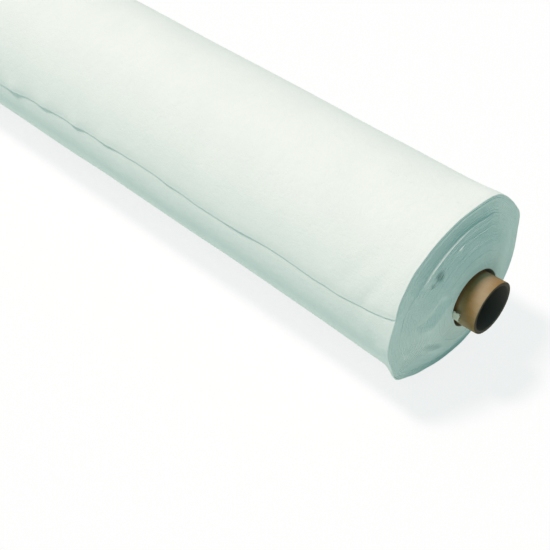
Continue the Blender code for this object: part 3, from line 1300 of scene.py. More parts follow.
@dataclass(frozen=True)
class CoreTube:
    """The spiral-wound cardboard core, with its ply seams and its cut ends.

    Attributes:
        chamfer, corner_degrees: radius of its corners' rounds, and the points on them.
        close_zone, close_rings, far_rings: rings of points by each end of the outside, and
            the distances of the others; the bore's have the same names.
        end_rings, sides: rings across a cut end, and points round the tube.
        ply_lead, ply_rise: how far the outer ply climbs in a turn, and the step it makes.
        seam_start, seam_depth, seam_width: the butt seam between two turns of the ply.
        end_wear, end_zone: how far a cut end is worn, and how deep that reaches.
        fray, fray_stretch, fray_share: the fine wear, drawn out along the wall.
        swell, swell_share: the broad wear, read in another line at each end.
        ply_lines, ply_relief: the plies that show in a cut end.
        softening: how far the outside is pressed in there.
        root_shade_show, root_shade_fade: how far the band of painted shade at the core's root
            reaches out of the innermost turn, and over what length it fades.
        bend_length, bend_rise, flare: how the +X end bends up and has swollen.
    """

    form: RollForm
    bore_radius: float = 0.0381
    half_length: float = 1.032
    chamfer: float = 0.0008
    corner_degrees: tuple[float, ...] = (18.0, 36.0, 54.0, 72.0, 90.0)
    close_zone: float = 0.09
    close_rings: int = 64
    far_rings: tuple[float, ...] = (0.2, 0.5)
    bore_zone: float = 0.3
    bore_rings: int = 40
    bore_far_rings: tuple[float, ...] = (0.6,)
    end_rings: int = 15
    sides: int = 224
    ply_lead: float = 0.152
    seam_start: float = 0.047
    seam_depth: float = 0.00032
    seam_width: float = 0.0007
    ply_rise: float = 0.00012
    end_wear: float = 0.00025
    end_zone: float = 0.002
    fray: Knots = Knots(51, 0.0035, 73)
    fray_stretch: float = 40.0
    fray_share: float = 0.55
    swell: Knots = Knots(52, 0.019, 59)
    swell_share: float = 0.45
    ply_lines: float = 7.0
    ply_relief: float = 0.00012
    softening: float = 0.0004
    root_shade_show: float = 0.0015
    root_shade_fade: float = 0.0044
    bend_length: float = 0.150
    bend_rise: float = 0.0042
    flare: float = 0.0004

    @property
    def wall(self) -> float:
        """Thickness of the tube's wall."""
        return self.form.core_radius - self.bore_radius

    def profile(self) -> tuple[Array, Array, Array]:
        """Return one closed profile of the tube.

        It runs from -X to +X on the outside, across the +X end ring, back through the bore
        and across the other ring, with quarter rounds at the four corners.

        Returns:
            Radii, places along the tube, and surface distances with one for the way back.
        """
        outer, inner, edge = self.form.core_radius, self.bore_radius, self.chamfer
        last = self.half_length - edge
        side = np.append(np.linspace(0.0, self.close_zone, self.close_rings), self.far_rings)
        bore_side = np.append(np.linspace(0.0, self.bore_zone, self.bore_rings),
                              self.bore_far_rings)
        turn = np.radians(self.corner_degrees)
        back = turn - turn[0]
        ring = np.linspace(outer - edge, inner + edge, self.end_rings)[1:-1]
        x_out = np.concatenate([side - last, (last - side)[::-1]])
        x_in = np.concatenate([last - bore_side, (bore_side - last)[::-1]])
        radius = np.concatenate([
            np.full_like(x_out, outer), outer - edge + edge * np.cos(turn), ring,
            inner + edge - edge * np.sin(back), np.full_like(x_in, inner),
            inner + edge - edge * np.cos(turn), ring[::-1], outer - edge + edge * np.sin(back)])
        x = np.concatenate([
            x_out, last + edge * np.sin(turn), np.full_like(ring, self.half_length),
            last + edge * np.cos(back), x_in,
            -last - edge * np.sin(turn), np.full_like(ring, -self.half_length),
            -last - edge * np.cos(back)])
        steps = np.hypot(np.diff(radius, append=radius[0]), np.diff(x, append=x[0]))
        return radius, x, np.concatenate([[0.0], np.cumsum(steps)])

    def seam(self, x: Array, angle: Array) -> Array:
        """Return the wound ply's relief: a step that eases away, and a groove at the seam.

        The seam is a helix, where the place along the tube less the lead times the turns
        comes back to a whole number of leads.

        Args:
            x: places along the tube.
            angle: places round it.

        Returns:
            Heights.
        """
        phase = ((x + self.seam_start) / self.ply_lead - angle / TURN) % 1.0
        off_seam = np.minimum(phase, 1 - phase) * self.ply_lead
        step = self.ply_rise * (1 - phase)
        return step - self.seam_depth * bump_shape(off_seam, self.seam_width)

    def shaped(self, r: Array, x: Array, turn: Array, outside: Array,
               inside: Array) -> tuple[Array, Array, Array]:
        """Give the even tube its seams, its worn ends, its flare and its bend.

        The wear is a sum of fine and broad random swells and a cosine for the plies. The
        flare and the bend grow with the square of the place past the start of the bend.

        Args:
            r: radii.
            x: places along the tube.
            turn: places round it.
            outside: which points are on the outside.
            inside: which are in the bore, where the seam shows half as deep.

        Returns:
            Places along the tube, radii, and how far each point is lifted.
        """
        round_way = self.form.core_radius * turn
        relief = np.where(outside, self.seam(x, turn), 0.0)
        relief = relief - np.where(inside, self.seam(x, -turn) / 2, 0.0)
        at_end = smooth_step((np.abs(x) - self.half_length + self.end_zone) / self.end_zone)
        fine = self.fray.plane(round_way, self.fray_stretch * r)
        broad = self.swell.plane(round_way, np.sign(x) + 2)
        plies = np.cos(TURN * self.ply_lines * (r - self.bore_radius) / self.wall)
        wear = self.end_wear * (self.fray_share * fine + self.swell_share * broad - 1)
        wear = wear + self.ply_relief * (plies - 1)
        x = x + np.sign(x) * at_end * wear
        pressed = np.where(outside, (1 + broad) / 2, 0.0)
        r = r + relief - self.softening * at_end * pressed
        bent = np.clip(1 - (self.half_length - x) / self.bend_length, 0.0, 1.0) ** 2
        r = r + self.flare * bent * (r - self.bore_radius) / self.wall
        return x, r, self.bend_rise * bent

    def build(self) -> bpy.types.Object:
        """Turn the profile round the axis, shape it and set it in the bore's place.

        Returns:
            The object.
        """
        form = self.form
        radius, x, distance = self.profile()
        count = len(radius)
        turn, place = np.meshgrid(TURN * np.arange(self.sides) / self.sides, np.arange(count),
                                  indexing="ij")
        outside = radius[place] > form.core_radius - self.chamfer / 2
        inside = radius[place] < self.bore_radius + self.chamfer / 2
        along, r, lift = self.shaped(radius[place], x[place], turn, outside, inside)
        points = np.stack([along, r * np.cos(turn) + form.axis_y,
                           r * np.sin(turn) + form.axis_z + lift], axis=-1)
        down, on = cell_corners(self.sides, count)
        faces = (down % self.sides) * count + on % count
        board = np.stack([down * (TURN / self.sides) * form.core_radius, distance[on]], axis=-1)
        # Painted shade: a darker band on the outside where the core goes into the innermost turn
        # and the gap's shade falls. The bore and the cut ends are marked for their painted shade
        # too.
        turn_side = form.wrap_x + form.cone_rise + form.sheet_width / 2
        root_shaded = smooth_step((turn_side + self.root_shade_show - np.abs(along)) / self.root_shade_fade)
        marks = {"bore": inside, "ring": ~(inside | outside), "root_shade": outside * root_shaded}
        piece = new_piece("core_tube_board", points, faces.tolist(), "board", board, marks,
                          SHARP_END)
        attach(piece, Body.ROLL.value)
        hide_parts("core_tube")
        return piece


@dataclass(frozen=True)
class StartScrap:
    """The torn corner of the sheet's first edge, crumpled beside the core.

    Attributes:
        arc, show, hidden: its length round the core, and how far it stands out and goes in.
        thinness, curl: its thickness as a share of the sheet's, and how far its end curls.
        tip_shares, body_start, body_rows: rows of points, as shares of the arc.
        blunt_share, blunt_limit: share over which it grows thick, and where that stops.
        cut_gap: the cut between it and the sheet's first edge.
        crumple, calm_share, folds: its folds, calmer towards that edge.
        tear, torn_tip, torn_side: how ragged it is, at its end and at its side.
    """

    form: RollForm
    arc: float = 0.013
    show: float = 0.009
    hidden: float = 0.026
    thinness: float = 0.8
    curl: float = 0.0012
    tip_shares: tuple[float, ...] = (0.0, 0.05, 0.12, 0.22)
    body_start: float = 0.3
    body_rows: int = 11
    blunt_share: float = 0.12
    blunt_limit: float = 0.97
    columns: int = 25
    rounding: int = 4
    cut_gap: float = 0.0003
    crumple: float = 0.0009
    calm_share: float = 0.8
    folds: Knots = Knots(62, 0.0034)
    folds_place: float = 3.0
    tear: float = 0.0022
    torn_tip: Knots = Knots(61, 0.0021)
    torn_tip_place: float = 0.3
    torn_side: Knots = Knots(63, 0.0026)
    torn_side_place: float = 0.001

    def build(self) -> bpy.types.Object:
        """Lead back from the sheet's first edge, with a torn outline and a blunt tip.

        Returns:
            The object.
        """
        form, width = self.form, self.hidden + self.show
        half = form.thickness / 2 * self.thinness
        face = np.linspace(half, width - half, self.columns)
        sweep = half_turn(self.rounding)
        side, depth = half * (1 - np.sin(sweep)), half * (1 - np.cos(sweep))
        along = np.concatenate([face[::-1], side, face, (width - side)[::-1]])
        inset = np.concatenate([0 * face, depth, 0 * face + 2 * half, depth[::-1]])
        body = np.linspace(self.body_start, 1.0, self.body_rows)
        share = np.concatenate([self.tip_shares, body])[:, None]
        full = np.sqrt(1 - np.clip(1 - share / self.blunt_share, 0, self.blunt_limit) ** 2)
        rows = np.broadcast_to(along, (len(share), len(along)))
        ragged = self.torn_tip.plane(rows, np.full_like(share, self.torn_tip_place))
        reach = self.arc * (1 - share) + self.tear * ragged * (1 - share)
        travel = -(self.cut_gap + reach) / form.first_radius
        lean = (form.winding_thickness - form.thickness) / 2 + self.curl * (1 - share) ** 2
        folds = self.folds.plane(rows, self.folds_place + self.arc * share)
        buckle = self.crumple * folds * (1 - share * self.calm_share)
        y, z = form.section(travel, lean + buckle + half + (inset - half) * full)
        torn = self.tear * self.torn_side.plane(form.first_radius * travel,
                                                np.full_like(travel, self.torn_side_place))
        x = form.sheet_width / 2 + self.show - along + torn * (along < self.show)
        points = np.stack([x, y + form.axis_y, z + form.axis_z], axis=-1)
        u = np.broadcast_to(self.arc * share, (len(share), len(along) + 1))
        v = np.broadcast_to(np.append(along, along[0]), u.shape)
        edge = np.broadcast_to((inset > 0) & (inset < 2 * half), travel.shape).astype(float)
        marks = {"cut_edge": np.maximum(edge, 1 - full)}
        grid = LoopGrid(points, np.stack([u, v], axis=-1), marks, self.columns)
        piece = grid.build("start_scrap_fleece", SHARP_END)
        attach(piece, Body.ROLL.value)
        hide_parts("start_tongue")
        return piece


class Wire:
    """A shader socket that takes part in sums; a Python number may stand on either side."""

    def __init__(self, bench: "Bench", socket: bpy.types.NodeSocket) -> None:
        """Keep the socket and the bench that makes the nodes."""
        self.bench = bench
        self.socket = socket

    def __add__(self, other: "Value") -> "Wire":
        """Return the sum."""
        return self.bench.maths("ADD", self, other)

    __radd__ = __add__

    def __sub__(self, other: "Value") -> "Wire":
        """Return the difference."""
        return self.bench.maths("SUBTRACT", self, other)

    def __rsub__(self, other: float) -> "Wire":
        """Return a number less this."""
        return self.bench.maths("SUBTRACT", other, self)

    def __mul__(self, other: "Value") -> "Wire":
        """Return the product."""
        return self.bench.maths("MULTIPLY", self, other)

    __rmul__ = __mul__

    def __pow__(self, other: float) -> "Wire":
        """Return this raised to a power."""
        return self.bench.maths("POWER", self, other)

    def clamped(self) -> "Wire":
        """Return this held between nought and one."""
        return self.bench.maths("ADD", self, 0.0, clamp=True)


Value = Wire | float | int
Colour = tuple[float, float, float]
WHITE = (1.0, 1.0, 1.0, 1.0)
MIX_FIRST, MIX_SECOND, MIX_COLOUR = 6, 7, 2
LOOKS = ("Is Camera Ray", "Is Glossy Ray", "Is Transmission Ray")


@dataclass(frozen=True)
class Grain:
    """How fine and how rough a Noise Texture is.

    Attributes:
        scale: grains in a metre.
        detail: octaves.
        roughness: how strongly the finer octaves show.
        warp: how far the grains are pulled about.
    """

    scale: float
    detail: float = 2.0
    roughness: float = 0.5
    warp: float = 0.0


class Bench:
    """Makes and joins the nodes of one material, or of the world."""

    def __init__(self, owner: bpy.types.Material | bpy.types.World, output: str) -> None:
        """Clear the owner's nodes and start with nothing but its output.

        Args:
            owner: the material or world.
            output: type of its output node.
        """
        owner.use_nodes = True
        self.owner = owner
        self.tree = owner.node_tree
        self.tree.nodes.clear()
        self.output = self.node(output)

    @classmethod
    def material(cls, name: str) -> "Bench":
        """Start a new material of this name."""
        return cls(bpy.data.materials.new(name), "ShaderNodeOutputMaterial")

    def node(self, kind: str, inputs: dict | None = None,
             settings: dict | None = None) -> bpy.types.Node:
        """Make a node, set it up and fill its sockets.

        Args:
            kind: the node's type.
            inputs: values or wires by socket name or number.
            settings: its own settings, which are set first.

        Returns:
            The node.
        """
        made = self.tree.nodes.new(kind)
        for key, value in (settings or {}).items():
            setattr(made, key, value)
        for key, value in (inputs or {}).items():
            if isinstance(value, Wire):
                self.tree.links.new(value.socket, made.inputs[key])
            else:
                made.inputs[key].default_value = value
        return made

    def wire(self, kind: str, output: str | int, inputs: dict | None = None,
             settings: dict | None = None) -> Wire:
        """Make a node and return one of its outputs."""
        return Wire(self, self.node(kind, inputs, settings).outputs[output])

    def maths(self, operation: str, first: Value, second: Value, clamp: bool = False) -> Wire:
        """Return the outcome of a Math node."""
        settings = {"operation": operation, "use_clamp": clamp}
        return self.wire("ShaderNodeMath", 0, {0: first, 1: second}, settings)

    def blend(self, share: Value, first: Wire | Colour, second: Wire | Colour) -> Wire:
        """Mix two colours.

        Args:
            share: how much of the second there is.
            first: one colour.
            second: the other.

        Returns:
            The colour between them.
        """
        one, two = (colour if isinstance(colour, Wire) else (*colour, 1.0)
                    for colour in (first, second))
        inputs = {0: share, MIX_FIRST: one, MIX_SECOND: two}
        return self.wire("ShaderNodeMix", MIX_COLOUR, inputs, {"data_type": "RGBA"})

    def noise(self, place: Wire, grain: Grain) -> Wire:
        """Return a Noise Texture's value.

        Args:
            place: where it is read.
            grain: how fine and rough it is.

        Returns:
            Numbers about one half.
        """
        values = {"Vector": place, "Scale": grain.scale, "Detail": grain.detail,
                  "Roughness": grain.roughness, "Distortion": grain.warp}
        return self.wire("ShaderNodeTexNoise", 0, values)

    def contrast(self, value: Wire, strength: float) -> Wire:
        """Spread a value about one half and hold it between nought and one."""
        return ((value - 0.5) * strength + 0.5).clamped()

    def cells(self, place: Wire, scale: float) -> Wire:
        """Return the distance to the nearest point of a Voronoi Texture."""
        return self.wire("ShaderNodeTexVoronoi", "Distance", {"Vector": place, "Scale": scale})

    def mapped(self, place: Wire, across: float, along: float, turn: float) -> Wire:
        """Scale a flat pattern's two coordinates and turn it."""
        values = {"Vector": place, "Rotation": (0.0, 0.0, turn), "Scale": (across, along, 1.0)}
        return self.wire("ShaderNodeMapping", 0, values)

    def split(self, place: Wire) -> tuple[Wire, Wire]:
        """Return the first two of a place's three numbers."""
        parts = self.node("ShaderNodeSeparateXYZ", {"Vector": place})
        return Wire(self, parts.outputs[0]), Wire(self, parts.outputs[1])

    def layer(self, name: str) -> Wire:
        """Return a piece's own map of flat places, in metres."""
        return self.wire("ShaderNodeUVMap", 0, settings={"uv_map": name})

    def mark(self, name: str) -> Wire:
        """Return a number that a piece's points carry."""
        return self.wire("ShaderNodeAttribute", "Fac", settings={"attribute_name": name})

    def bump(self, height: Wire, depth: float, before: Wire | None = None) -> Wire:
        """Return a normal bent by a height.

        Args:
            height: the height, from nought to one.
            depth: how many metres one is.
            before: a normal that is already bent.

        Returns:
            The normal.
        """
        values = {"Strength": 1.0, "Distance": depth, "Height": height}
        if before is not None:
            values["Normal"] = before
        return self.wire("ShaderNodeBump", 0, values)

    def backdrop_share(self) -> Wire:
        """Return one where the camera, a mirror or glass looks, and nought for other light."""
        camera, mirror, glass = (self.wire("ShaderNodeLightPath", kind) for kind in LOOKS)
        return (camera + mirror + glass).clamped()

    def finish(self, shader: Wire) -> bpy.types.Material | bpy.types.World:
        """Join a shader to the output and return the owner."""
        self.tree.links.new(shader.socket, self.output.inputs["Surface"])
        return self.owner

    def skin(self, inputs: dict) -> bpy.types.Material:
        """Finish with a Principled shader and return the material."""
        return self.finish(self.wire("ShaderNodeBsdfPrincipled", 0, inputs))


@dataclass(frozen=True)
class FleeceFinish:
    """Matt white needle-punched fibre: cloudy, felted, with rows of needle pricks.

    Attributes:
        thick, thin: colours where the fibre lies thick and thin.
        cut, cut_deep: colours of the cut edges, where the fibre ends stand out.
        hole, soiled: painted shade on the first turn's inner face in the hole, and painted shade on
            the turns next to the pockets.
        thin_share: how much of the clouds and tufts together still is thin.
        fibre_draw, fibre_turns: how the fibres are drawn out, in two directions.
        cut_share: how strongly a cut edge has its own colour.
    """

    name: str = "white_fleece"
    thick: Colour = (0.880, 0.893, 0.868)
    thin: Colour = (0.835, 0.858, 0.832)
    cut: Colour = (0.835, 0.870, 0.842)
    cut_deep: Colour = (0.775, 0.815, 0.790)
    # Painted shade on the first turn's inner face, in the hole.
    hole: Colour = (0.34, 0.32, 0.27)
    # Painted shade, teal like the shadows, on the turns next to the pockets.
    pocket_shaded: Colour = (0.13, 0.20, 0.19)
    clouds: Grain = Grain(14.0, 4.0, 0.6)
    cloud_share: float = 1.6
    tufts: Grain = Grain(95.0, 3.0, 0.6, 0.4)
    tuft_share: float = 0.8
    tuft_depth: float = 0.0006
    thin_share: float = 0.7
    fibres: Grain = Grain(620.0, 3.0, 0.7)
    fibre_draw: float = 0.22
    fibre_turns: tuple[float, float] = (math.radians(24), math.radians(-15))
    fibre_depth: float = 0.00022
    patches: Grain = Grain(26.0)
    patch_contrast: float = 2.6
    cut_share: float = 0.85
    prick_scale: float = 290.0
    prick_depth: float = 0.00018
    prick_power: float = 0.5
    roughness: float = 0.95
    gloss: float = 0.18

    def material(self) -> bpy.types.Material:
        """Make the material on the cloth's own map.

        Returns:
            The material.
        """
        bench = Bench.material(self.name)
        cloth = bench.layer("cloth")
        clouds = bench.noise(cloth, self.clouds)
        tufts = bench.noise(cloth, self.tufts)
        across = bench.mapped(cloth, 1.0, self.fibre_draw, self.fibre_turns[0])
        along = bench.mapped(cloth, self.fibre_draw, 1.0, self.fibre_turns[1])
        fibres = bench.noise(across, self.fibres) + bench.noise(along, self.fibres)
        pricks = bench.cells(cloth, self.prick_scale) ** self.prick_power
        lay = clouds * self.cloud_share + tufts * self.tuft_share - self.thin_share
        body = bench.blend(lay.clamped(), self.thin, self.thick)
        place = bench.wire("ShaderNodeTexCoord", "Object")
        patches = bench.contrast(bench.noise(place, self.patches), self.patch_contrast)
        face = bench.blend(patches, self.cut_deep, self.cut)
        trimmed = bench.blend(bench.mark("cut_edge") * self.cut_share, body, face)
        # Painted shade: the first turn's inner face is darkened.
        holed = bench.blend(bench.mark("hole_shade"), trimmed, self.hole)
        # Painted shade in the pockets.
        colour = bench.blend(bench.mark("pocket_shade"), holed, self.pocket_shaded)
        felt = bench.bump(tufts, self.tuft_depth)
        pricked = bench.bump(pricks, self.prick_depth, felt)
        hairy = bench.bump(fibres, self.fibre_depth, pricked)
        return bench.skin({"Base Color": colour, "Roughness": self.roughness,
                           "Specular IOR Level": self.gloss, "Normal": hairy})


@dataclass(frozen=True)
class BoardFinish:
    """Spiral-wound kraft board: streaked along the ply, with painted shade in the bore, on the cut
    ends and on a band at the core's root.

    Attributes:
        pale, deep: colours of its streaks.
        ring, bore, grime: painted shade on the cut ends, in the bore, and on the band next to the
            innermost turn.
        ply_angle, ply_draw: the ply's slant, and how far it draws the streaks out.
        band_lead, band_round: how far the ply's bands climb in a turn, and its length.
        band_starts: how many bands there are side by side.
        dark_share: how much of the grain still is dark.
    """

    pale: Colour = (0.365, 0.270, 0.160)
    deep: Colour = (0.27, 0.150, 0.046)
    # Painted shade on the cut ends, nearly as dark as the bore.
    ring: Colour = (0.056, 0.047, 0.034)
    ring_share: float = 0.9
    # Painted shade in the bore.
    bore: Colour = (0.100, 0.084, 0.078)
    bore_share: float = 0.97
    # Painted shade on the band next to the innermost turn.
    root_shade: Colour = (0.300, 0.135, 0.048)
    root_shade_share: float = 0.95
    streaks: Grain = Grain(260.0, 5.0, 0.65)
    streak_share: float = 0.5
    ply_angle: float = math.radians(29)
    ply_draw: float = 0.16
    blots: Grain = Grain(42.0, 3.0, 0.55)
    blot_share: float = 0.5
    specks: Grain = Grain(1500.0, 2.0, 0.7)
    speck_share: float = 0.25
    speck_relief: float = 0.5
    band_lead: float = 0.152
    band_round: float = 0.2708
    band_phase: float = 0.223
    band_starts: int = 3
    band_share: float = 0.42
    dark_share: float = 0.1
    relief_depth: float = 0.00018
    roughness: float = 0.78
    gloss: float = 0.3

    def material(self) -> bpy.types.Material:
        """Make the material on the board's own map.

        Returns:
            The material.
        """
        bench = Bench.material("kraft_board")
        board = bench.layer("board")
        ply = bench.mapped(board, 1.0, self.ply_draw, self.ply_angle)
        streaks = bench.noise(ply, self.streaks)
        blots = bench.noise(board, self.blots)
        specks = bench.noise(board, self.specks)
        round_way, along_way = bench.split(board)
        climb = along_way * (1 / self.band_lead) - round_way * (1 / self.band_round)
        swing = (climb + self.band_phase) * (TURN * self.band_starts)
        band = bench.maths("SINE", swing, 0.0)
        grain = streaks * self.streak_share + blots * self.blot_share + specks * self.speck_share
        tone = (grain + band * self.band_share - self.dark_share).clamped()
        outside = bench.blend(tone, self.deep, self.pale)
        # Painted shade on the cut ends.
        ringed = bench.blend(bench.mark("ring") * self.ring_share, outside, self.ring)
        # Painted shade in the bore.
        bored = bench.blend(bench.mark("bore") * self.bore_share, ringed, self.bore)
        # Painted shade at the core's root.
        colour = bench.blend(bench.mark("root_shade") * self.root_shade_share, bored, self.root_shade)
        relief = bench.bump(streaks + specks * self.speck_relief, self.relief_depth)
        return bench.skin({"Base Color": colour, "Roughness": self.roughness,
                           "Specular IOR Level": self.gloss, "Normal": relief})


@dataclass(frozen=True)
class AdhesiveFinish:
    """A strip of adhesive film, slightly glossy and uneven.

    Attributes:
        pale, deep: colours where the film is thin and thick.
    """

    pale: Colour = (0.78, 0.76, 0.68)
    deep: Colour = (0.66, 0.61, 0.49)
    smears: Grain = Grain(60.0, 3.0, 0.6)
    smear_depth: float = 0.0002
    roughness: float = 0.4

    def material(self) -> bpy.types.Material:
        """Make the material on the piece's own place in the roll.

        Returns:
            The material.
        """
        bench = Bench.material("adhesive_strip")
        smears = bench.noise(bench.wire("ShaderNodeTexCoord", "Object"), self.smears)
        colour = bench.blend(smears, self.deep, self.pale)
        return bench.skin({"Base Color": colour, "Roughness": self.roughness,
                           "Normal": bench.bump(smears, self.smear_depth)})


@dataclass(frozen=True)
class FloorFinish:
    """Pale floor that reads as white to the eye and keeps the roll's shadow.

    Attributes:
        colour: what lights the roll from below.
        shown: what the camera sees.
        white_share: share of plain white that is mixed into that.
    """

    colour: Colour = (0.73, 0.84, 0.815)
    shown: Colour = (0.93, 0.93, 0.93)
    white_share: float = 0.82

    def material(self) -> bpy.types.Material:
        """Mix plain white into what the camera sees of a matt floor.

        Returns:
            The material.
        """
        bench = Bench.material("studio_floor")
        matt = bench.wire("ShaderNodeBsdfDiffuse", 0, {"Color": (*self.colour, 1.0)})
        shown = bench.wire("ShaderNodeBsdfDiffuse", 0, {"Color": (*self.shown, 1.0)})
        white = bench.wire("ShaderNodeEmission", 0, {"Color": WHITE, "Strength": 1.0})
        pale = bench.wire("ShaderNodeMixShader", 0, {0: self.white_share, 1: shown, 2: white})
        both = {0: bench.backdrop_share(), 1: matt, 2: pale}
        return bench.finish(bench.wire("ShaderNodeMixShader", 0, both))


@dataclass(frozen=True)
class Studio:
    """Floor, even soft light from above and beyond the far end, and the photograph's camera.

    Attributes:
        lamp_azimuth, lamp_height, lamp_angle: where the lamp is, and its width in the sky.
        camera_azimuth, camera_height: the way back from what the camera looks at.
        focal_pixels, image_pixels: focal length and width of the picture, in its pixels.
        sensor: width of the camera's sensor in millimetres.
    """

    floor_size: float = 24.0
    lamp_azimuth: float = math.radians(-65)
    lamp_height: float = math.radians(66)
    lamp_distance: float = 3.0
    lamp_angle: float = math.radians(11)
    lamp_strength: float = 2.98
    lamp_colour: Colour = (0.985, 0.806, 0.778)
    sky_colour: Colour = (0.46, 1.0, 0.953)
    sky_strength: float = 0.332
    camera_place: tuple[float, float, float] = (1.5651, -1.0037, 1.2617)
    camera_azimuth: float = math.radians(44.02)
    camera_height: float = math.radians(43.67)
    focal_pixels: float = 1074.0
    image_pixels: float = 550.0
    sensor: float = 36.0

    def direction(self, azimuth: float, height: float) -> Array:
        """Return the way from the roll to a lamp or camera, azimuth 0 in front."""
        return np.array([math.sin(azimuth) * math.cos(height),
                         -math.cos(azimuth) * math.cos(height), math.sin(height)])

    def aim(self, thing: bpy.types.Object, back: Array) -> None:
        """Turn a lamp or camera so that it looks against the given direction."""
        thing.rotation_mode = "QUATERNION"
        thing.rotation_quaternion = Vector((-back).tolist()).to_track_quat("-Z", "Y")

    def build(self) -> None:
        """Make the floor, the lamp, the world and the camera."""
        bpy.context.scene.view_settings.view_transform = "Standard"
        self.lay_floor()
        self.hang_lamp()
        self.colour_sky()
        self.place_camera()

    def lay_floor(self) -> None:
        """Lay a wide flat floor under the roll."""
        half = self.floor_size / 2
        mesh = bpy.data.meshes.new("studio_floor")
        corners = [(-half, -half, 0), (half, -half, 0), (half, half, 0), (-half, half, 0)]
        mesh.from_pydata(corners, [], [(0, 1, 2, 3)])
        floor = placed("studio_floor", mesh)
        floor.data.materials.append(FloorFinish().material())

    def hang_lamp(self) -> None:
        """Hang one far lamp, wide enough to give soft shadows."""
        light = bpy.data.lights.new("key", "SUN")
        light.angle = self.lamp_angle
        light.energy = self.lamp_strength
        light.color = self.lamp_colour
        lamp = placed("key", light)
        back = self.direction(self.lamp_azimuth, self.lamp_height)
        lamp.location = back * self.lamp_distance
        self.aim(lamp, back)

    def colour_sky(self) -> None:
        """Fill the shadows with an even sky that the camera sees as white."""
        bench = Bench(bpy.data.worlds.new("studio"), "ShaderNodeOutputWorld")
        sky = {"Color": (*self.sky_colour, 1.0), "Strength": self.sky_strength}
        fill = bench.wire("ShaderNodeBackground", 0, sky)
        white = bench.wire("ShaderNodeBackground", 0, {"Color": WHITE, "Strength": 1.0})
        both = {0: bench.backdrop_share(), 1: fill, 2: white}
        bpy.context.scene.world = bench.finish(bench.wire("ShaderNodeMixShader", 0, both))

    def place_camera(self) -> None:
        """Set the camera where the photograph was taken from."""
        data = bpy.data.cameras.new("camera")
        data.sensor_width = self.sensor
        data.lens = self.focal_pixels / self.image_pixels * self.sensor
        camera = placed("camera", data)
        camera.location = self.camera_place
        self.aim(camera, self.direction(self.camera_azimuth, self.camera_height))
        bpy.context.scene.camera = camera


def dress(piece: bpy.types.Object, finish: bpy.types.Material) -> None:
    """Give a piece one material in all its slots."""
    piece.data.materials.clear()
    piece.data.materials.append(finish)


DENTS = tuple(
    Dent(along, math.radians(degrees), rise, length, arc, skew)
    for along, degrees, rise, length, arc, skew in (
        (0.050, 158, -0.0012, 0.010, 0.034, 0.35), (0.085, 150, -0.0008, 0.012, 0.040, 0.5),
        (0.033, 186, -0.0016, 0.012, 0.016, -0.2), (0.062, 180, -0.0012, 0.016, 0.018, -0.3),
        (0.0, 215.5, 0.0105, 0.014, 0.029, 0.0), (0.0, 250, -0.0080, 0.050, 0.038, 0.0),
        (0.0, 5, -0.0055, 0.060, 0.055, 0.0), (0.0, 64, 0.0068, 0.050, 0.040, 0.0),
        (0.0, 22, 0.0042, 0.040, 0.022, 0.0), (0.36, 217, -0.0022, 0.17, 0.05, 0.0),
        (0.0, 188, 0.0018, 0.020, 0.030, 0.0), (0.8, 37, -0.0036, 0.9, 0.11, 0.0),
        (0.6, 217, -0.0040, 0.7, 0.055, 0.0)))

# The last two columns of each pocket give its painted shade and how far that fades.
POCKETS = tuple(
    Pocket(radius, math.radians(degrees), parting, step, across, arc, pocket_shade, pocket_shade_reach)
    for radius, degrees, parting, step, across, arc, pocket_shade, pocket_shade_reach in (
        (0.1125, 131, 0.0042, 0.0, 0.010, 0.0075, 0.95, 0.0055),
        (0.1130, 139.5, 0.0018, 0.0, 0.006, 0.0035, 0.8, 0.0030),
        (0.1170, 106, 0.0, 0.0031, 0.0045, 0.010, 0.0, 0.0035)))

CREASES = (Crease(start=(-0.068, 0.036), end=(-0.096, 0.004), rise=0.0040, width=0.006),
           Crease(start=(-0.066, -0.056), end=(-0.086, -0.047), rise=0.0026, width=0.005))

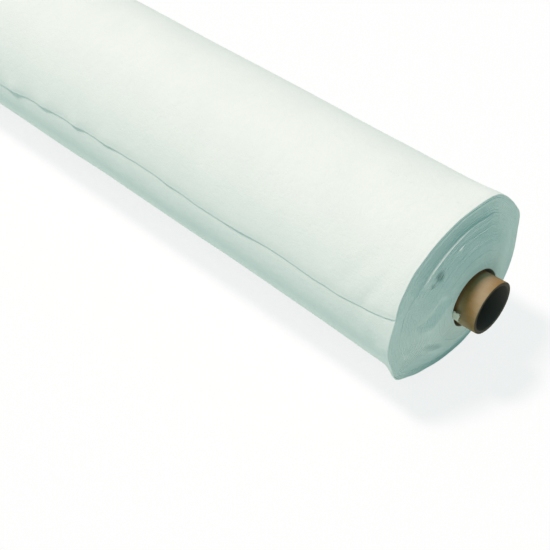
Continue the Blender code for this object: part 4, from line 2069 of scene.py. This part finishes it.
RIDGE_SLIP = Slip((
    (0, 0.0040), (20, 0.0030), (45, 0.0030), (60, 0.0050), (80, 0.0098), (90, 0.0108),
    (98, 0.0110), (108, 0.0109), (119, 0.0104), (127, 0.0103), (136, 0.0096), (146, 0.0058),
    (156, 0.0034), (166, 0.0008), (188, 0.0010), (205, 0.0028), (222, 0.0060), (250, 0.0090),
    (300, 0.0090), (335, 0.0060)))
RIDGE_LIP = Slip((
    (0, 0.0008), (60, 0.0012), (80, 0.0028), (98, 0.0036), (136, 0.0034), (150, 0.0022),
    (200, 0.0022), (230, 0.0008), (300, 0.0008)))
RIM_SLIP = Slip((
    (0, 0.0), (45, 0.0), (65, -0.0004), (84, -0.0004), (106, -0.0008), (126, -0.0020),
    (137, -0.0036), (151, -0.0028), (165, 0.0), (300, 0.0)))

CURLS = tuple(EdgeCurl(along, lift, width) for along, lift, width in (
    (0.30, 0.0010, 0.030), (0.47, 0.0008, 0.022), (0.62, 0.0016, 0.018), (0.70, 0.0022, 0.014),
    (0.79, 0.0018, 0.020), (0.88, 0.0030, 0.015), (1.02, 0.0022, 0.025), (1.22, 0.0016, 0.030),
    (1.47, 0.0024, 0.022), (1.76, 0.0018, 0.035)))


GLUED_FLEECE = FleeceFinish(name="glued_fleece", thick=(0.86, 0.80, 0.68), thin=(0.80, 0.73, 0.60),
                            cut=(0.80, 0.75, 0.63), cut_deep=(0.76, 0.70, 0.58))


def main() -> None:
    """Build the roll piece by piece, dress it, and set up the studio."""
    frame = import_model()
    form = RollForm()
    relief = Relief(form, DENTS, POCKETS, CREASES, RIDGE_SLIP, RIDGE_LIP, RIM_SLIP)
    hinge = next(joint for joint in frame["joints"] if joint["name"] == "free_end_lift")
    wraps = OuterWraps(form, relief)
    core = CoreTube(form).build()
    cloths = [InnerWindings(form, relief).build()]
    cloths += wraps.build()
    cloths.append(FreeEnd(form, relief, CURLS, wraps.split_travel).build(np.array(hinge["pos_m"])))
    cloths.append(StartScrap(form).build())
    dress(core, BoardFinish().material())
    fleece = FleeceFinish().material()
    for piece in cloths:
        dress(piece, fleece)
    dress(cloths[-1], GLUED_FLEECE.material())
    tape = frame["nodes"]["core_tape"]
    dress(tape, AdhesiveFinish().material())
    for piece in [core, *cloths, tape]:
        LOG.info("%s: %d vertices, %d faces", piece.name, len(piece.data.vertices),
                 len(piece.data.polygons))
    Studio().build()
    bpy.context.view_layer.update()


if __name__ == "__main__":
    logging.basicConfig(level=logging.INFO, format="%(message)s")
    main()
